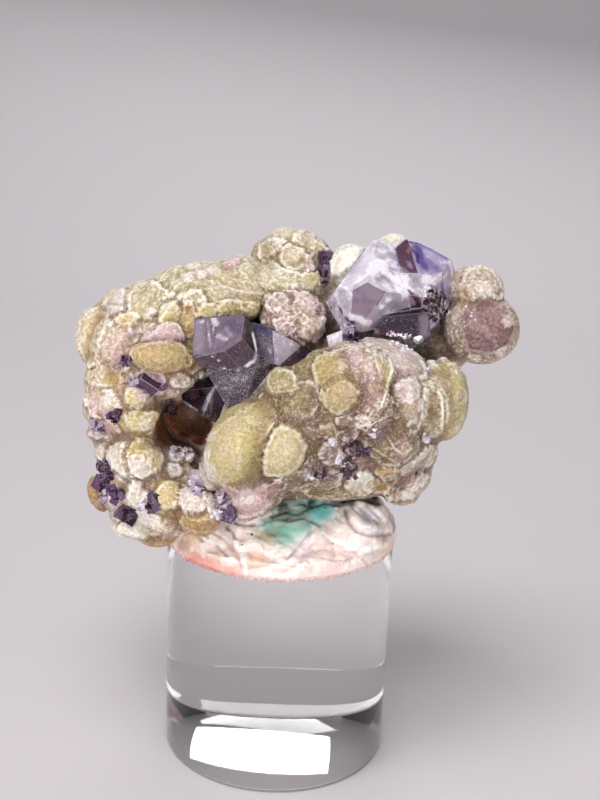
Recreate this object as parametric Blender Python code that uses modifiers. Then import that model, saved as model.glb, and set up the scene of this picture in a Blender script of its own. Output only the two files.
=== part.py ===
"""Botryoidal fluorite on a clear display cylinder, held by mounting putty.

Metres, +Z up, the viewer looks along +Y. The origin is the centre of the cylinder's foot.
Lobes and crystals were placed from one front view. Their rows hold a place in that view
and a depth, and seen_at() turns the two into a point of the object's own frame.
"""

import math
import random
from collections import namedtuple

import bmesh
import bpy
from mathutils import Euler, Matrix, Vector

MM = 0.001

# The clear cylinder
STAND_RADIUS = 15.0 * MM
STAND_HEIGHT = 30.0 * MM
STAND_BEVEL = 0.3 * MM
STAND_SIDES = 64

# What keeps the pieces apart, and how finely each is made
GAP = 0.3 * MM
CRUST_VOXEL = 0.5 * MM
CRUST_TRIANGLES = 6000
PUTTY_VOXEL = 0.5 * MM
PUTTY_TRIANGLES = 1000

# The front view, in pixels of its frame
VIEWPOINT = Vector((1.9, -148.5, 91.4)) * MM
VIEW_DOWN = math.radians(15.64)
VIEW_ROLL = math.radians(2.23)
VIEW_FOCAL = 1200
VIEW_CENTRE = (300, 400)

# u and v are a place in the front view; depth is the centre's y in mm; wide, deep and
# tall are half sizes in mm; tilt turns the lobe in the picture plane, in degrees
Lobe = namedtuple("Lobe", "u v depth wide deep tall tilt", defaults=(0,))

UPPER_LEFT = [
    Lobe(192, 322, 3, 9.0, 9.0, 5.6, 14),
    Lobe(150, 331, 2, 5.0, 7.0, 4.6),
    Lobe(240, 303, 5, 4.5, 7.0, 4.2),
    Lobe(101, 352, 5, 3.1, 5.0, 4.4),
    Lobe(119, 325, 7, 2.8, 4.0, 2.9),
    Lobe(125, 362, -1, 3.9, 5.0, 4.6),
    Lobe(110, 397, -2, 3.2, 5.0, 4.2),
    Lobe(160, 378, -3, 5.5, 6.0, 4.2),
    Lobe(166, 353, -6, 2.7, 3.0, 2.1),
    Lobe(161, 371, -9, 3.8, 3.0, 1.8),
    Lobe(196, 352, -3, 3.0, 4.0, 3.2),
    Lobe(193, 315, -3, 2.3, 2.5, 1.8),
    Lobe(173, 328, -4, 1.6, 2.0, 1.6),
    Lobe(218, 320, -2, 2.2, 2.6, 1.5),
    Lobe(240, 320, -1, 2.2, 2.6, 1.6),
]

LOWER_LEFT = [
    Lobe(130, 414, -3, 4.6, 5.5, 4.3),
    Lobe(138, 411, -8.6, 1.8, 1.8, 1.8),
    Lobe(142, 433, -7.5, 2.8, 3.0, 1.7, 8),
    Lobe(103, 420, -4, 2.5, 3.5, 2.6),
    Lobe(95, 446, -3, 1.2, 1.6, 0.8),
    Lobe(139, 474, -7, 3.5, 4.0, 3.0),
    Lobe(108, 463, -4, 1.7, 3.0, 2.1),
    Lobe(157, 453, -5.5, 1.6, 2.0, 1.7),
    Lobe(130, 495, -4, 3.9, 5.0, 5.0),
    Lobe(137, 507, -9, 1.5, 2.0, 2.0),
    Lobe(166, 511, -10, 1.9, 2.2, 2.1),
    Lobe(98, 508, 1, 1.3, 2.0, 2.5, 20),
    Lobe(130, 533, -5, 2.6, 3.5, 2.2),
    Lobe(143, 543, -7, 1.8, 2.0, 1.5),
    Lobe(157, 549, -6, 2.5, 3.0, 1.2),
    Lobe(199, 524, -11, 2.8, 3.0, 2.9),
    Lobe(168, 534, -9, 1.8, 2.0, 1.5),
    Lobe(176, 512, -5, 5.6, 6.0, 4.6),
    Lobe(174, 474, -5.5, 1.1, 1.6, 1.9),
    Lobe(184, 472, -5, 1.3, 1.8, 1.7),
]

RIGHT_FRONT = [
    Lobe(330, 440, -5, 13.0, 9.0, 7.6),
    Lobe(325, 480, -3, 11.5, 8.0, 3.6),
    Lobe(237, 458, -11, 3.6, 5.5, 5.4, -25),
    Lobe(214, 475, -8.5, 1.8, 4.5, 3.6, -8),
    Lobe(284, 463, -15.5, 2.8, 2.4, 3.3, -12),
    Lobe(283, 399, -11, 2.1, 3.0, 2.1),
    Lobe(294, 424, -12, 2.6, 3.0, 1.9),
    Lobe(341, 408, -15, 2.8, 2.2, 2.5, 20),
    Lobe(322, 390, -13, 1.9, 2.2, 1.9),
    Lobe(352, 386, -10, 4.6, 4.5, 3.6),
    Lobe(388, 380, -6, 5.4, 5.0, 2.6, -22),
    Lobe(406, 420, -10, 2.3, 4.0, 4.0),
    Lobe(430, 420, -7.5, 2.0, 4.0, 3.9),
    Lobe(445, 414, -4, 2.3, 5.0, 5.0),
    Lobe(430, 382, -5, 0.9, 1.4, 0.8),
    Lobe(443, 380, -4, 1.0, 1.4, 0.9),
    Lobe(372, 424, -13, 2.8, 3.0, 2.8),
    Lobe(390, 452, -10.5, 3.6, 4.5, 3.6),
    Lobe(330, 442, -13, 1.6, 1.6, 1.5),
    Lobe(332, 467, -12.5, 1.5, 1.6, 1.5),
    Lobe(352, 463, -12.5, 1.4, 1.5, 1.3),
    Lobe(353, 483, -11.5, 1.5, 1.6, 1.2),
    Lobe(311, 480, -12.5, 1.7, 1.6, 1.5),
    Lobe(388, 485, -7, 1.4, 1.8, 1.1),
    Lobe(410, 487, -4, 2.6, 4.0, 2.6),
    Lobe(426, 468, -2, 1.3, 3.0, 1.7),
    Lobe(400, 507, -3, 2.4, 4.0, 0.9),
    Lobe(358, 500, -8, 2.1, 3.0, 1.4),
    Lobe(252, 508, -11.5, 3.1, 3.0, 2.4),
    Lobe(245, 523, -11, 1.6, 1.8, 1.5),
    Lobe(266, 526, -10.5, 1.4, 1.8, 1.2),
    Lobe(292, 497, -10, 3.4, 3.5, 1.8),
    Lobe(294, 512, -7, 3.6, 4.0, 1.6),
]

UPPER_MIDDLE = [
    Lobe(293, 334, 0, 4.2, 4.5, 3.3),
    Lobe(286, 266, 8, 3.2, 4.0, 3.2),
    Lobe(311, 271, 8, 2.5, 3.6, 2.7),
    Lobe(266, 271, 8, 2.0, 3.0, 2.4),
    Lobe(296, 276, 4.5, 1.9, 2.0, 1.8),
    Lobe(288, 298, 4, 4.8, 5.0, 2.9),
    Lobe(351, 284, 4.5, 3.1, 4.0, 3.3),
    Lobe(393, 264, 9, 2.4, 3.0, 2.1),
    Lobe(390, 318, 8, 7.0, 7.0, 6.4),
    Lobe(350, 330, 5, 5.0, 5.0, 5.0),
]

RIGHT_BALL = [
    Lobe(474, 303, 4, 3.6, 4.5, 2.9),
    Lobe(481, 343, 1.5, 4.8, 4.2, 4.5),
    Lobe(442, 357, 7, 4.0, 5.0, 3.6),
    Lobe(452, 325, 8, 4.0, 4.6, 3.6),
]

# The body that the lobes grew on, and its back: centres and half sizes in mm
BODY = [
    ((0, 4, 47), (18.5, 12, 10.5)),
    ((-13, 11, 50), (7.5, 7, 7.5)),
    ((-4, 14, 47), (8, 6.5, 8.5)),
    ((7, 14, 49), (8, 6.5, 8.0)),
    ((15, 9, 47), (6, 7, 7)),
    ((-18, 8, 44), (5, 6, 7)),
    ((0, 9, 55), (8, 7, 6)),
    ((11, 9, 56), (6, 6, 6)),
    ((6, 12, 41), (8, 6, 5.5)),
    ((-9, 10, 41), (8, 7, 6)),
]

# Lobes strewn over the sides and the back, where the front view does not reach
STREWN_SEED = 11
STREWN_TRIES = 900
STREWN_SPACING = 3.6
STREWN_SIZE = (1.8, 3.8)

# The crust is cut flat here, where it sits in the putty
SEAT_HEIGHT = 34.8 * MM
SEAT_RADIUS = 11.5 * MM

# The putty: its disc, and the lumps pressed up round the crust (centre, half sizes in mm)
PUTTY_RADIUS = 14.7 * MM
PUTTY_RIM = 1.6 * MM
PRESS = 0.6 * MM
PUTTY_LUMPS = [
    ((0, 0.5, 32.0), (12.6, 11.8, 6.0)),
    ((8.6, -8.0, 32.4), (4.4, 3.4, 3.4)),
    ((-8.4, -8.0, 31.8), (4.4, 4.0, 3.2)),
    ((-1.0, -11.0, 31.6), (5.0, 2.8, 2.2)),
    ((3.0, -8.6, 32.8), (4.2, 3.0, 3.0)),
    ((11.2, -2.0, 32.4), (3.0, 5.0, 3.4)),
    ((-11.2, 0.0, 32.0), (3.0, 5.0, 3.0)),
    ((6.5, 8.8, 32.4), (4.8, 4.0, 4.0)),
    ((-5.5, 9.0, 32.4), (5.0, 3.8, 4.0)),
]

# The open pocket left of the middle
POCKET = Lobe(183, 446, -8.5, 2.7, 8.0, 2.2, 8)

# A crystal is a convex block. Its outline is a polygon in the front view, its corners hold
# (u, v, depth), each face is the flat plane through three of the corners, and back is the
# depth in mm where it ends inside the crust.
Crystal = namedtuple("Crystal", "outline corners faces back")

BIG_PALE = Crystal(
    outline=[(368, 257), (375, 254), (381, 255), (396, 262), (418, 288), (423, 323), (385, 342),
             (360, 346), (338, 339), (325, 316), (341, 295)],
    corners={
        "a": (352, 304, -6.0), "b": (367, 296, -6.4), "c": (376, 256, 2.0), "d": (383, 305, -6.4),
        "e": (366, 333, -5.4), "f": (350, 331, -5.2), "g": (325, 316, -1.0), "h": (422, 322, -2.6),
        "i": (360, 344, -4.8),
    },
    faces=["abc", "bdc", "ade", "deh", "afg", "efi"],
    back=4.5,
)
VIOLET = Crystal(
    outline=[(395, 262), (406, 253), (414, 255), (432, 263), (451, 274), (454, 284), (456, 301),
             (454, 319), (445, 332), (431, 343), (415, 330), (400, 290)],
    corners={
        "a": (396, 262, 1.0), "b": (407, 254, 3.0), "c": (417, 287, -2.6), "d": (451, 274, 3.6),
        "e": (456, 301, 4.2), "f": (437, 292, -1.6), "g": (430, 340, -1.0),
    },
    faces=["abc", "bcd", "def", "cfg", "efg"],
    back=7.5,
)
LOWER_STEP = Crystal(
    outline=[(385, 329), (421, 320), (429, 325), (430, 356), (411, 353), (374, 348), (374, 341)],
    corners={
        "a": (385, 331, -5.6), "b": (428, 326, -4.2), "c": (429, 355, -3.6), "d": (421, 320, -2.0),
    },
    faces=["abc", "abd"],
    back=4,
)
BLUE_CUBE = Crystal(
    outline=[(194, 333), (237, 329), (242, 329), (252, 338), (257, 371), (249, 380), (213, 385),
             (198, 379), (192, 369)],
    corners={
        "a": (193, 369, -10.4), "b": (222, 363, -11.2), "c": (241, 350, -10.6), "d": (194, 333, -7.0),
        "f": (213, 384, -8.6), "g": (249, 380, -8.4), "h": (252, 338, -7.6), "i": (257, 371, -8.4),
    },
    faces=["acd", "abf", "bcg", "chi"],
    back=-1,
)
DUSTY_BLOCK = Crystal(
    outline=[(205, 384), (250, 369), (276, 371), (284, 380), (266, 401), (240, 424), (228, 427),
             (212, 396)],
    corners={
        "a": (213, 384, -7.8), "b": (258, 373, -7.6), "c": (232, 425, -7.8), "d": (252, 412, -7.0),
        "e": (280, 381, -4.6),
    },
    faces=["abc", "bde"],
    back=0,
)
LAVENDER_BLOCK = Crystal(
    outline=[(252, 336), (272, 342), (299, 358), (320, 369), (313, 378), (281, 380), (257, 374)],
    corners={
        "a": (272, 343, -5.4), "b": (274, 371, -6.9), "c": (299, 361, -4.4), "d": (291, 379, -5.8),
        "e": (253, 342, -3.6), "f": (319, 370, -2.6),
    },
    faces=["abc", "abe", "cdf"],
    back=0,
)
DARK_WEDGE = Crystal(
    outline=[(180, 403), (212, 389), (223, 400), (225, 420), (220, 438), (203, 431), (182, 417)],
    corners={
        "a": (181, 405, -5.6), "b": (214, 401, -7.8), "c": (203, 427, -8.2), "d": (220, 437, -6.6),
        "e": (212, 390, -5.8),
    },
    faces=["abc", "bcd", "abe"],
    back=-2,
)
TOP_SLAB = Crystal(
    outline=[(326, 350), (341, 344), (357, 349), (358, 357), (347, 362), (329, 364)],
    corners={
        "a": (326, 351, -6.6), "b": (341, 346, -7.4), "c": (329, 364, -7.2), "d": (358, 350, -6.0),
        "e": (342, 361, -7.8),
    },
    faces=["abc", "bde"],
    back=-3,
)
TOP_CHIP = Crystal(
    outline=[(339, 340), (346, 337), (353, 339), (353, 347), (341, 347)],
    corners={"a": (340, 340, -6.2), "b": (353, 340, -6.4), "c": (346, 347, -7.0)},
    faces=["abc"],
    back=-3,
)

# Flat-faced plates that are part of the crust
ROSETTE = Crystal(
    outline=[(458, 336), (467, 319), (486, 312), (506, 320), (516, 343), (507, 361), (487, 369),
             (466, 364)],
    corners={
        "a": (486, 341, -4.4), "b": (459, 330, -2.2), "c": (505, 318, -2.2), "d": (514, 352, -2.4),
        "e": (478, 368, -2.8),
    },
    faces=["abc", "acd", "ade", "aeb"],
    back=4,
)
SHOULDER = Crystal(
    outline=[(361, 352), (370, 347), (418, 369), (427, 386), (412, 396), (366, 372)],
    corners={
        "a": (368, 349, -8.6), "b": (418, 370, -8.2), "c": (412, 394, -10.4), "d": (366, 371, -10.8),
    },
    faces=["abc", "acd"],
    back=-2,
)
PLATES = [ROSETTE, SHOULDER]

# A cube stands turned in the crust: half edges in mm and Euler angles in degrees
Cube = namedtuple("Cube", "u v depth edges turn")

# Each group grew together and is one solid
CRYSTAL_GROUPS = {
    "upper_purple_crystals": [BIG_PALE, VIOLET, LOWER_STEP, TOP_SLAB, TOP_CHIP],
    "middle_purple_crystals": [BLUE_CUBE, DUSTY_BLOCK, LAVENDER_BLOCK, DARK_WEDGE],
    "small_crystal_left": [Cube(148, 396, -8.6, (1.0, 1.0, 1.0), (38, 35, 12))],
    "small_crystal_left_high": [Cube(126, 375, -5.0, (0.7, 0.7, 0.7), (25, 30, 30))],
    "small_crystal_far_left": [Cube(114, 431, -6.6, (0.8, 0.8, 0.8), (30, 20, 35))],
    "small_crystal_left_edge": [Cube(98, 440, -5.6, (0.8, 0.7, 0.7), (15, 40, 10))],
    "small_crystal_low_edge": [Cube(104, 479, -5.4, (0.8, 0.7, 0.8), (20, 30, 25))],
    "small_crystals_low_left": [
        Cube(111, 493, -6.8, (0.8, 0.9, 0.8), (35, 20, 40)),
        Cube(102, 498, -6.2, (0.9, 0.9, 0.9), (10, 25, 50)),
        Cube(113, 504, -7.0, (1.1, 1.0, 1.1), (30, 35, 20)),
    ],
    "small_crystals_foot": [
        Cube(124, 525, -8.0, (1.0, 0.9, 0.9), (30, 30, 10)),
        Cube(131, 531, -8.4, (0.8, 0.8, 0.8), (20, 40, 35)),
    ],
    "small_crystals_low_middle": [
        Cube(154, 516, -9.6, (1.0, 0.9, 0.9), (25, 30, 40)),
        Cube(143, 518, -9.4, (0.7, 0.7, 0.7), (40, 15, 20)),
    ],
    "small_crystals_under_pocket": [
        Cube(198, 495, -10.2, (1.2, 1.0, 0.9), (30, 15, 20)),
        Cube(199, 506, -10.8, (1.0, 0.9, 0.8), (20, 35, 45)),
    ],
    "small_crystals_low_right": [
        Cube(225, 522, -12.4, (1.2, 1.1, 1.4), (8, 22, 20)),
        Cube(223, 511, -11.8, (0.8, 0.8, 0.9), (30, 20, 40)),
    ],
}


def view_axes():
    """The front view's own directions: ahead, to the right and up."""
    across = Vector((1, 0, 0))
    ahead = Vector((0, math.cos(VIEW_DOWN), -math.sin(VIEW_DOWN)))
    up = across.cross(ahead)
    right = math.cos(VIEW_ROLL) * across + math.sin(VIEW_ROLL) * up
    above = math.cos(VIEW_ROLL) * up - math.sin(VIEW_ROLL) * across
    return ahead, right, above


def seen_at(u, v, depth):
    """The point at this depth, in mm, on the front view's line of sight through (u, v)."""
    ahead, right, above = view_axes()
    ray = ahead * VIEW_FOCAL + right * (u - VIEW_CENTRE[0]) + above * (VIEW_CENTRE[1] - v)
    return VIEWPOINT + ray * ((depth * MM - VIEWPOINT.y) / ray.y)


def lobe_matrix(lobe):
    """Places a unit sphere as this lobe. A positive tilt turns it anticlockwise in the view."""
    turn = Matrix.Rotation(-math.radians(lobe.tilt), 4, "Y")
    sizes = (lobe.wide * MM, lobe.deep * MM, lobe.tall * MM, 1)
    return Matrix.Translation(seen_at(lobe.u, lobe.v, lobe.depth)) @ turn @ Matrix.Diagonal(sizes)


def grown(matrix, more):
    """The same lobe, larger by this much on every side."""
    scales = [1 + more / column.to_3d().length for column in matrix.col[:3]]
    return matrix @ Matrix.Diagonal((*scales, 1))


def body_matrix(centre, sizes):
    return Matrix.Translation(Vector(centre) * MM) @ Matrix.Diagonal((*[side * MM for side in sizes], 1))


def sphere_directions(count):
    """Directions spread evenly over a sphere, by the golden angle."""
    golden = math.pi * (3 - math.sqrt(5))
    for step in range(count):
        height = 1 - (2 * step + 1) / count
        ring = math.sqrt(1 - height * height)
        yield Vector((ring * math.cos(golden * step), ring * math.sin(golden * step), height))


def is_inside(point, matrices, share=1.0):
    """True where a point lies within this share of the size of any of the lobes."""
    return any((matrix.inverted() @ point).length < share for matrix in matrices)


def strewn_matrices():
    """Mid-sized lobes on the sides and the back of the body."""
    rng = random.Random(STREWN_SEED)
    bodies = [body_matrix(centre, sizes) for centre, sizes in BODY]
    made = []
    for _ in range(STREWN_TRIES):
        body = rng.choice(bodies)
        direction = Vector((rng.gauss(0, 1), rng.gauss(0, 1), rng.gauss(0, 1))).normalized()
        size = rng.uniform(*STREWN_SIZE) * MM
        centre = body @ (direction * 0.94)
        if centre.y < 7 * MM or centre.z < 38 * MM or is_inside(centre, bodies, 0.9):
            continue
        if all((centre - other.translation).length > STREWN_SPACING * MM for other in made):
            made.append(Matrix.Translation(centre) @ Matrix.Diagonal((size, size, size, 1)))
    return made


def new_object(name, made_mesh, collection):
    """Turns a bmesh into an object in the collection."""
    mesh = bpy.data.meshes.new(name)
    made_mesh.to_mesh(mesh)
    made_mesh.free()
    made = bpy.data.objects.new(name, mesh)
    collection.objects.link(made)
    return made


def add_rod(cluster, radius, low, high, segments=48):
    """A plain upright cylinder on the Z axis, between two heights."""
    bmesh.ops.create_cone(cluster, cap_ends=True, segments=segments, radius1=radius, radius2=radius,
                          depth=high - low, matrix=Matrix.Translation((0, 0, (low + high) / 2)))


def sphere_cluster(name, matrices, collection, others=()):
    """One object of overlapping unit spheres, each under its own matrix, and other blocks."""
    cluster = bmesh.new()
    for matrix in matrices:
        bmesh.ops.create_icosphere(cluster, subdivisions=3, radius=1.0, matrix=matrix)
    for block in others:
        mesh = bpy.data.meshes.new("block")
        block.to_mesh(mesh)
        block.free()
        cluster.from_mesh(mesh)
        bpy.data.meshes.remove(mesh)
    return new_object(name, cluster, collection)


def bake_modifiers(thing):
    """Replaces the object's mesh with the one that its modifiers make."""
    graph = bpy.context.evaluated_depsgraph_get()
    baked = bpy.data.meshes.new_from_object(thing.evaluated_get(graph))
    old = thing.data
    thing.modifiers.clear()
    thing.data = baked
    bpy.data.meshes.remove(old)


def fuse(thing, voxel, triangles):
    """Joins what overlaps in the object into one skin of about this many triangles."""
    remesh = thing.modifiers.new("fuse", "REMESH")
    remesh.mode = "VOXEL"
    remesh.voxel_size = voxel
    bake_modifiers(thing)
    if len(thing.data.polygons) * 2 > triangles:
        thin = thing.modifiers.new("thin", "DECIMATE")
        thin.ratio = triangles / (2 * len(thing.data.polygons))
        bake_modifiers(thing)


def boolean(thing, other, operation):
    cut = thing.modifiers.new("join", "BOOLEAN")
    cut.operation = operation
    cut.solver = "EXACT"
    cut.object = other
    bake_modifiers(thing)


def crystal_planes(crystal):
    """Point and outward normal of each flat face of a crystal."""
    corners = {key: seen_at(*place) for key, place in crystal.corners.items()}
    middle_u = sum(u for u, v in crystal.outline) / len(crystal.outline)
    middle_v = sum(v for u, v in crystal.outline) / len(crystal.outline)
    inside = seen_at(middle_u, middle_v, crystal.back - 0.5)
    planes = [(seen_at(middle_u, middle_v, crystal.back), Vector((0, 1, 0)))]
    for first, second, third in crystal.faces:
        normal = (corners[second] - corners[first]).cross(corners[third] - corners[first]).normalized()
        planes.append((corners[first], normal))
    rim = [seen_at(u, v, 0) for u, v in crystal.outline]
    for here, there in zip(rim, rim[1:] + rim[:1]):
        planes.append((here, (here - VIEWPOINT).cross(there - VIEWPOINT).normalized()))
    outward = []
    for point, normal in planes:
        away = 1 if (inside - point).dot(normal) < 0 else -1
        outward.append((point, normal * away))
    return inside, outward


def cube_planes(cube):
    """Point and outward normal of each side of a turned cube."""
    centre = seen_at(cube.u, cube.v, cube.depth)
    turn = Euler([math.radians(angle) for angle in cube.turn]).to_matrix()
    outward = []
    for axis, half in zip(turn.col, cube.edges):
        outward.append((centre + axis * half * MM, axis.copy()))
        outward.append((centre - axis * half * MM, -axis))
    return centre, outward


def crystal_mesh(shape, grow):
    """The closed convex block of a crystal or cube, every face moved outward by grow."""
    inside, planes = cube_planes(shape) if isinstance(shape, Cube) else crystal_planes(shape)
    block = bmesh.new()
    bmesh.ops.create_cube(block, size=60 * MM, matrix=Matrix.Translation(inside))
    for point, normal in planes:
        cut = bmesh.ops.bisect_plane(
            block, geom=block.verts[:] + block.edges[:] + block.faces[:], dist=1e-7,
            plane_co=point + normal * grow, plane_no=normal, clear_outer=True)
        rim = [piece for piece in cut["geom_cut"] if isinstance(piece, bmesh.types.BMEdge)]
        if rim:
            bmesh.ops.contextual_create(block, geom=rim)
    bmesh.ops.dissolve_degenerate(block, dist=2e-5, edges=block.edges[:])
    bmesh.ops.recalc_face_normals(block, faces=block.faces[:])
    return block


def crystal_group(name, shapes, grow, collection):
    """One solid of the crystals that grew together."""
    group = None
    for step, shape in enumerate(shapes):
        block = new_object(name if step == 0 else "other", crystal_mesh(shape, grow), collection)
        if group is None:
            group = block
        else:
            boolean(group, block, "UNION")
            bpy.data.objects.remove(block)
    return group


def keep_largest_body(thing):
    """Drops loose crumbs that a cut leaves, and keeps the one big body."""
    skin = bmesh.new()
    skin.from_mesh(thing.data)
    unseen = set(skin.verts)
    bodies = []
    while unseen:
        front = [unseen.pop()]
        body = set(front)
        while front:
            for edge in front.pop().link_edges:
                for vert in edge.verts:
                    if vert in unseen:
                        unseen.discard(vert)
                        body.add(vert)
                        front.append(vert)
        bodies.append(body)
    largest = max(bodies, key=len)
    crumbs = [vert for body in bodies if body is not largest for vert in body]
    bmesh.ops.delete(skin, geom=crumbs, context="VERTS")
    skin.to_mesh(thing.data)
    skin.free()


def crust_lobes():
    """Matrices of every lobe that the crust is made of."""
    front = UPPER_LEFT + LOWER_LEFT + RIGHT_FRONT + UPPER_MIDDLE + RIGHT_BALL
    lobes = [lobe_matrix(lobe) for lobe in front]
    lobes += [body_matrix(centre, sizes) for centre, sizes in BODY]
    lobes += strewn_matrices()
    return lobes


def seat_cutter(clearance, collection):
    """The round flat seat that the putty fills, smaller all round by the clearance."""
    seat = bmesh.new()
    add_rod(seat, SEAT_RADIUS - clearance, 0, SEAT_HEIGHT - clearance)
    return new_object("seat", seat, collection)


def cut_away(thing, cutter):
    """Takes the cutter's volume out of the object, and the cutter with it."""
    boolean(thing, cutter, "DIFFERENCE")
    bpy.data.objects.remove(cutter)


def botryoidal_mass(collection, cutters):
    """The crust: lobes fused into one solid, with its pocket, its seat and the crystals' sockets."""
    plates = [crystal_mesh(plate, 0) for plate in PLATES]
    mass = sphere_cluster("botryoidal_mass", crust_lobes(), collection, plates)
    fuse(mass, CRUST_VOXEL, CRUST_TRIANGLES)
    cut_away(mass, seat_cutter(0, cutters))
    cut_away(mass, sphere_cluster("pocket", [lobe_matrix(POCKET)], cutters))
    for name, shapes in CRYSTAL_GROUPS.items():
        cut_away(mass, crystal_group(name + "_socket", shapes, GAP, cutters))
    keep_largest_body(mass)
    return mass


def mounting_putty(collection, cutters):
    """Soft putty pressed between the cylinder and the crust, kept clear of both."""
    bottom = STAND_HEIGHT + GAP
    lumps = [body_matrix(centre, sizes) for centre, sizes in PUTTY_LUMPS]
    disc = bmesh.new()
    add_rod(disc, PUTTY_RADIUS, bottom, bottom + PUTTY_RIM)
    putty = sphere_cluster("mounting_putty", lumps, collection, [disc])
    fuse(putty, PUTTY_VOXEL, PUTTY_TRIANGLES)
    floor = bmesh.new()
    add_rod(floor, 2 * STAND_RADIUS, 0, bottom)
    cut_away(putty, new_object("floor", floor, cutters))
    press = sphere_cluster("press", [grown(matrix, PRESS) for matrix in crust_lobes()], cutters)
    fuse(press, PUTTY_VOXEL, CRUST_TRIANGLES)
    cut_away(press, seat_cutter(GAP, cutters))
    cut_away(putty, press)
    keep_largest_body(putty)
    return putty


def acrylic_stand(collection):
    """The clear cylinder, its two rims eased."""
    rod = bmesh.new()
    add_rod(rod, STAND_RADIUS, 0, STAND_HEIGHT, STAND_SIDES)
    stand = new_object("acrylic_stand", rod, collection)
    ease = stand.modifiers.new("ease", "BEVEL")
    ease.width = STAND_BEVEL
    ease.segments = 1
    ease.limit_method = "ANGLE"
    ease.angle_limit = math.radians(60)
    stand.data.shade_smooth()
    stand.data.set_sharp_from_angle(angle=math.radians(40))
    return stand


def plain_material(name, colour, roughness, transmission=0.0):
    material = bpy.data.materials.new(name)
    material.use_nodes = True
    shader = material.node_tree.nodes["Principled BSDF"]
    shader.inputs["Base Color"].default_value = (*colour, 1)
    shader.inputs["Roughness"].default_value = roughness
    shader.inputs["Metallic"].default_value = 0.0
    shader.inputs["Transmission Weight"].default_value = transmission
    return material


def main():
    for old in list(bpy.data.objects):
        bpy.data.objects.remove(old)
    collection = bpy.data.collections.new("botryoidal_fluorite")
    bpy.context.scene.collection.children.link(collection)
    cutters = bpy.data.collections.new("cutters")
    bpy.context.scene.collection.children.link(cutters)

    acrylic = plain_material("clear_acrylic", (0.95, 0.95, 0.94), 0.05, 1.0)
    putty = plain_material("white_putty", (0.82, 0.76, 0.71), 0.7)
    crust = plain_material("yellow_green_fluorite", (0.70, 0.64, 0.45), 0.45)
    purple = plain_material("purple_fluorite", (0.30, 0.22, 0.42), 0.15)

    acrylic_stand(collection).data.materials.append(acrylic)
    mounting_putty(collection, cutters).data.materials.append(putty)
    botryoidal_mass(collection, cutters).data.materials.append(crust)
    for name, shapes in CRYSTAL_GROUPS.items():
        crystal_group(name, shapes, 0.0, collection).data.materials.append(purple)


if __name__ == "__main__":
    main()
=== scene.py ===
"""The looks of the botryoidal fluorite specimen, built round its fixed frame.

Metres, +Z up, the display side faces -Y. The origin is the centre of the cylinder's foot.
Lobes, crystals, lines and colour spots were placed from one front view. Their rows hold a place in
that view, and seen_at() or touch() turns it into a point of the object's own frame.
"""

import itertools
import math
import random
from collections import namedtuple

import bmesh
import bpy
import numpy as np
from mathutils import Euler, Matrix, Vector
from mathutils.bvhtree import BVHTree


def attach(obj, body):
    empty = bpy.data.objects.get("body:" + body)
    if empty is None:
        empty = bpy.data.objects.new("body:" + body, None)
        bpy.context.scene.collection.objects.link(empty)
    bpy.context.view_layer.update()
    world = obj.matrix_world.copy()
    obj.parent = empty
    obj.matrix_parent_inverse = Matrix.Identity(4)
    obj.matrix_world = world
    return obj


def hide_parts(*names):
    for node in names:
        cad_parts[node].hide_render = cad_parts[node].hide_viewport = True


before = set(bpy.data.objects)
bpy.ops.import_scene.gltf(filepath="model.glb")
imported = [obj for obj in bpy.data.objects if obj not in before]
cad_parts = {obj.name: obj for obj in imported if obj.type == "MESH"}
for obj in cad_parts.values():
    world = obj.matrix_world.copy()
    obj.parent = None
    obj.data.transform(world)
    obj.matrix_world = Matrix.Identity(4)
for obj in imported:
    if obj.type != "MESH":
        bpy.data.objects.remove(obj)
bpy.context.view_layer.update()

MM = 0.001

# The front view, in pixels of its frame
VIEWPOINT = Vector((1.9, -148.5, 91.4)) * MM
VIEW_DOWN = math.radians(15.64)
VIEW_ROLL = math.radians(2.23)
VIEW_FOCAL = 1200
VIEW_CENTRE = (300, 400)
PIXEL = 0.128 * MM

# The camera looks a little lower than the front view, so that the cylinder's foot is in it
CAMERA_DOWN = math.radians(16.3)
SENSOR = 24.0
LENS = 36.0

# The clear cylinder
STAND_RADIUS = 15.0 * MM
STAND_HEIGHT = 30.0 * MM
STAND_EASE = 0.3 * MM
STAND_SIDES = 160

# The floor, and the bend where it rises behind the object
FLOOR_LEVEL = -0.3 * MM
FLOOR_SIZE = 1.5
FLOOR_BACK = 0.25
FLOOR_BEND = 0.35
FLOOR_STEPS = 24

# How finely each kind of surface is made
FRONT_VOXEL = 0.20 * MM
BACK_VOXEL = 0.34 * MM
PUTTY_VOXEL = 0.24 * MM
SOCKET_CLEARANCE = 0.03 * MM
FILLET_STEPS = 4
BACK_FILLET = 0.6 * MM
CAP_EDGE = 3.4
CAP_RIM = 0.14 * MM
BUMP_SHARE = 0.75
CRYSTAL_EASE = 0.07 * MM
CRYSTAL_GRID = 0.31 * MM
CRYSTAL_CREASE = math.radians(16)
SPLIT_ROUNDS = 9
LAID_DEPTH = 2.2 * MM
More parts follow.
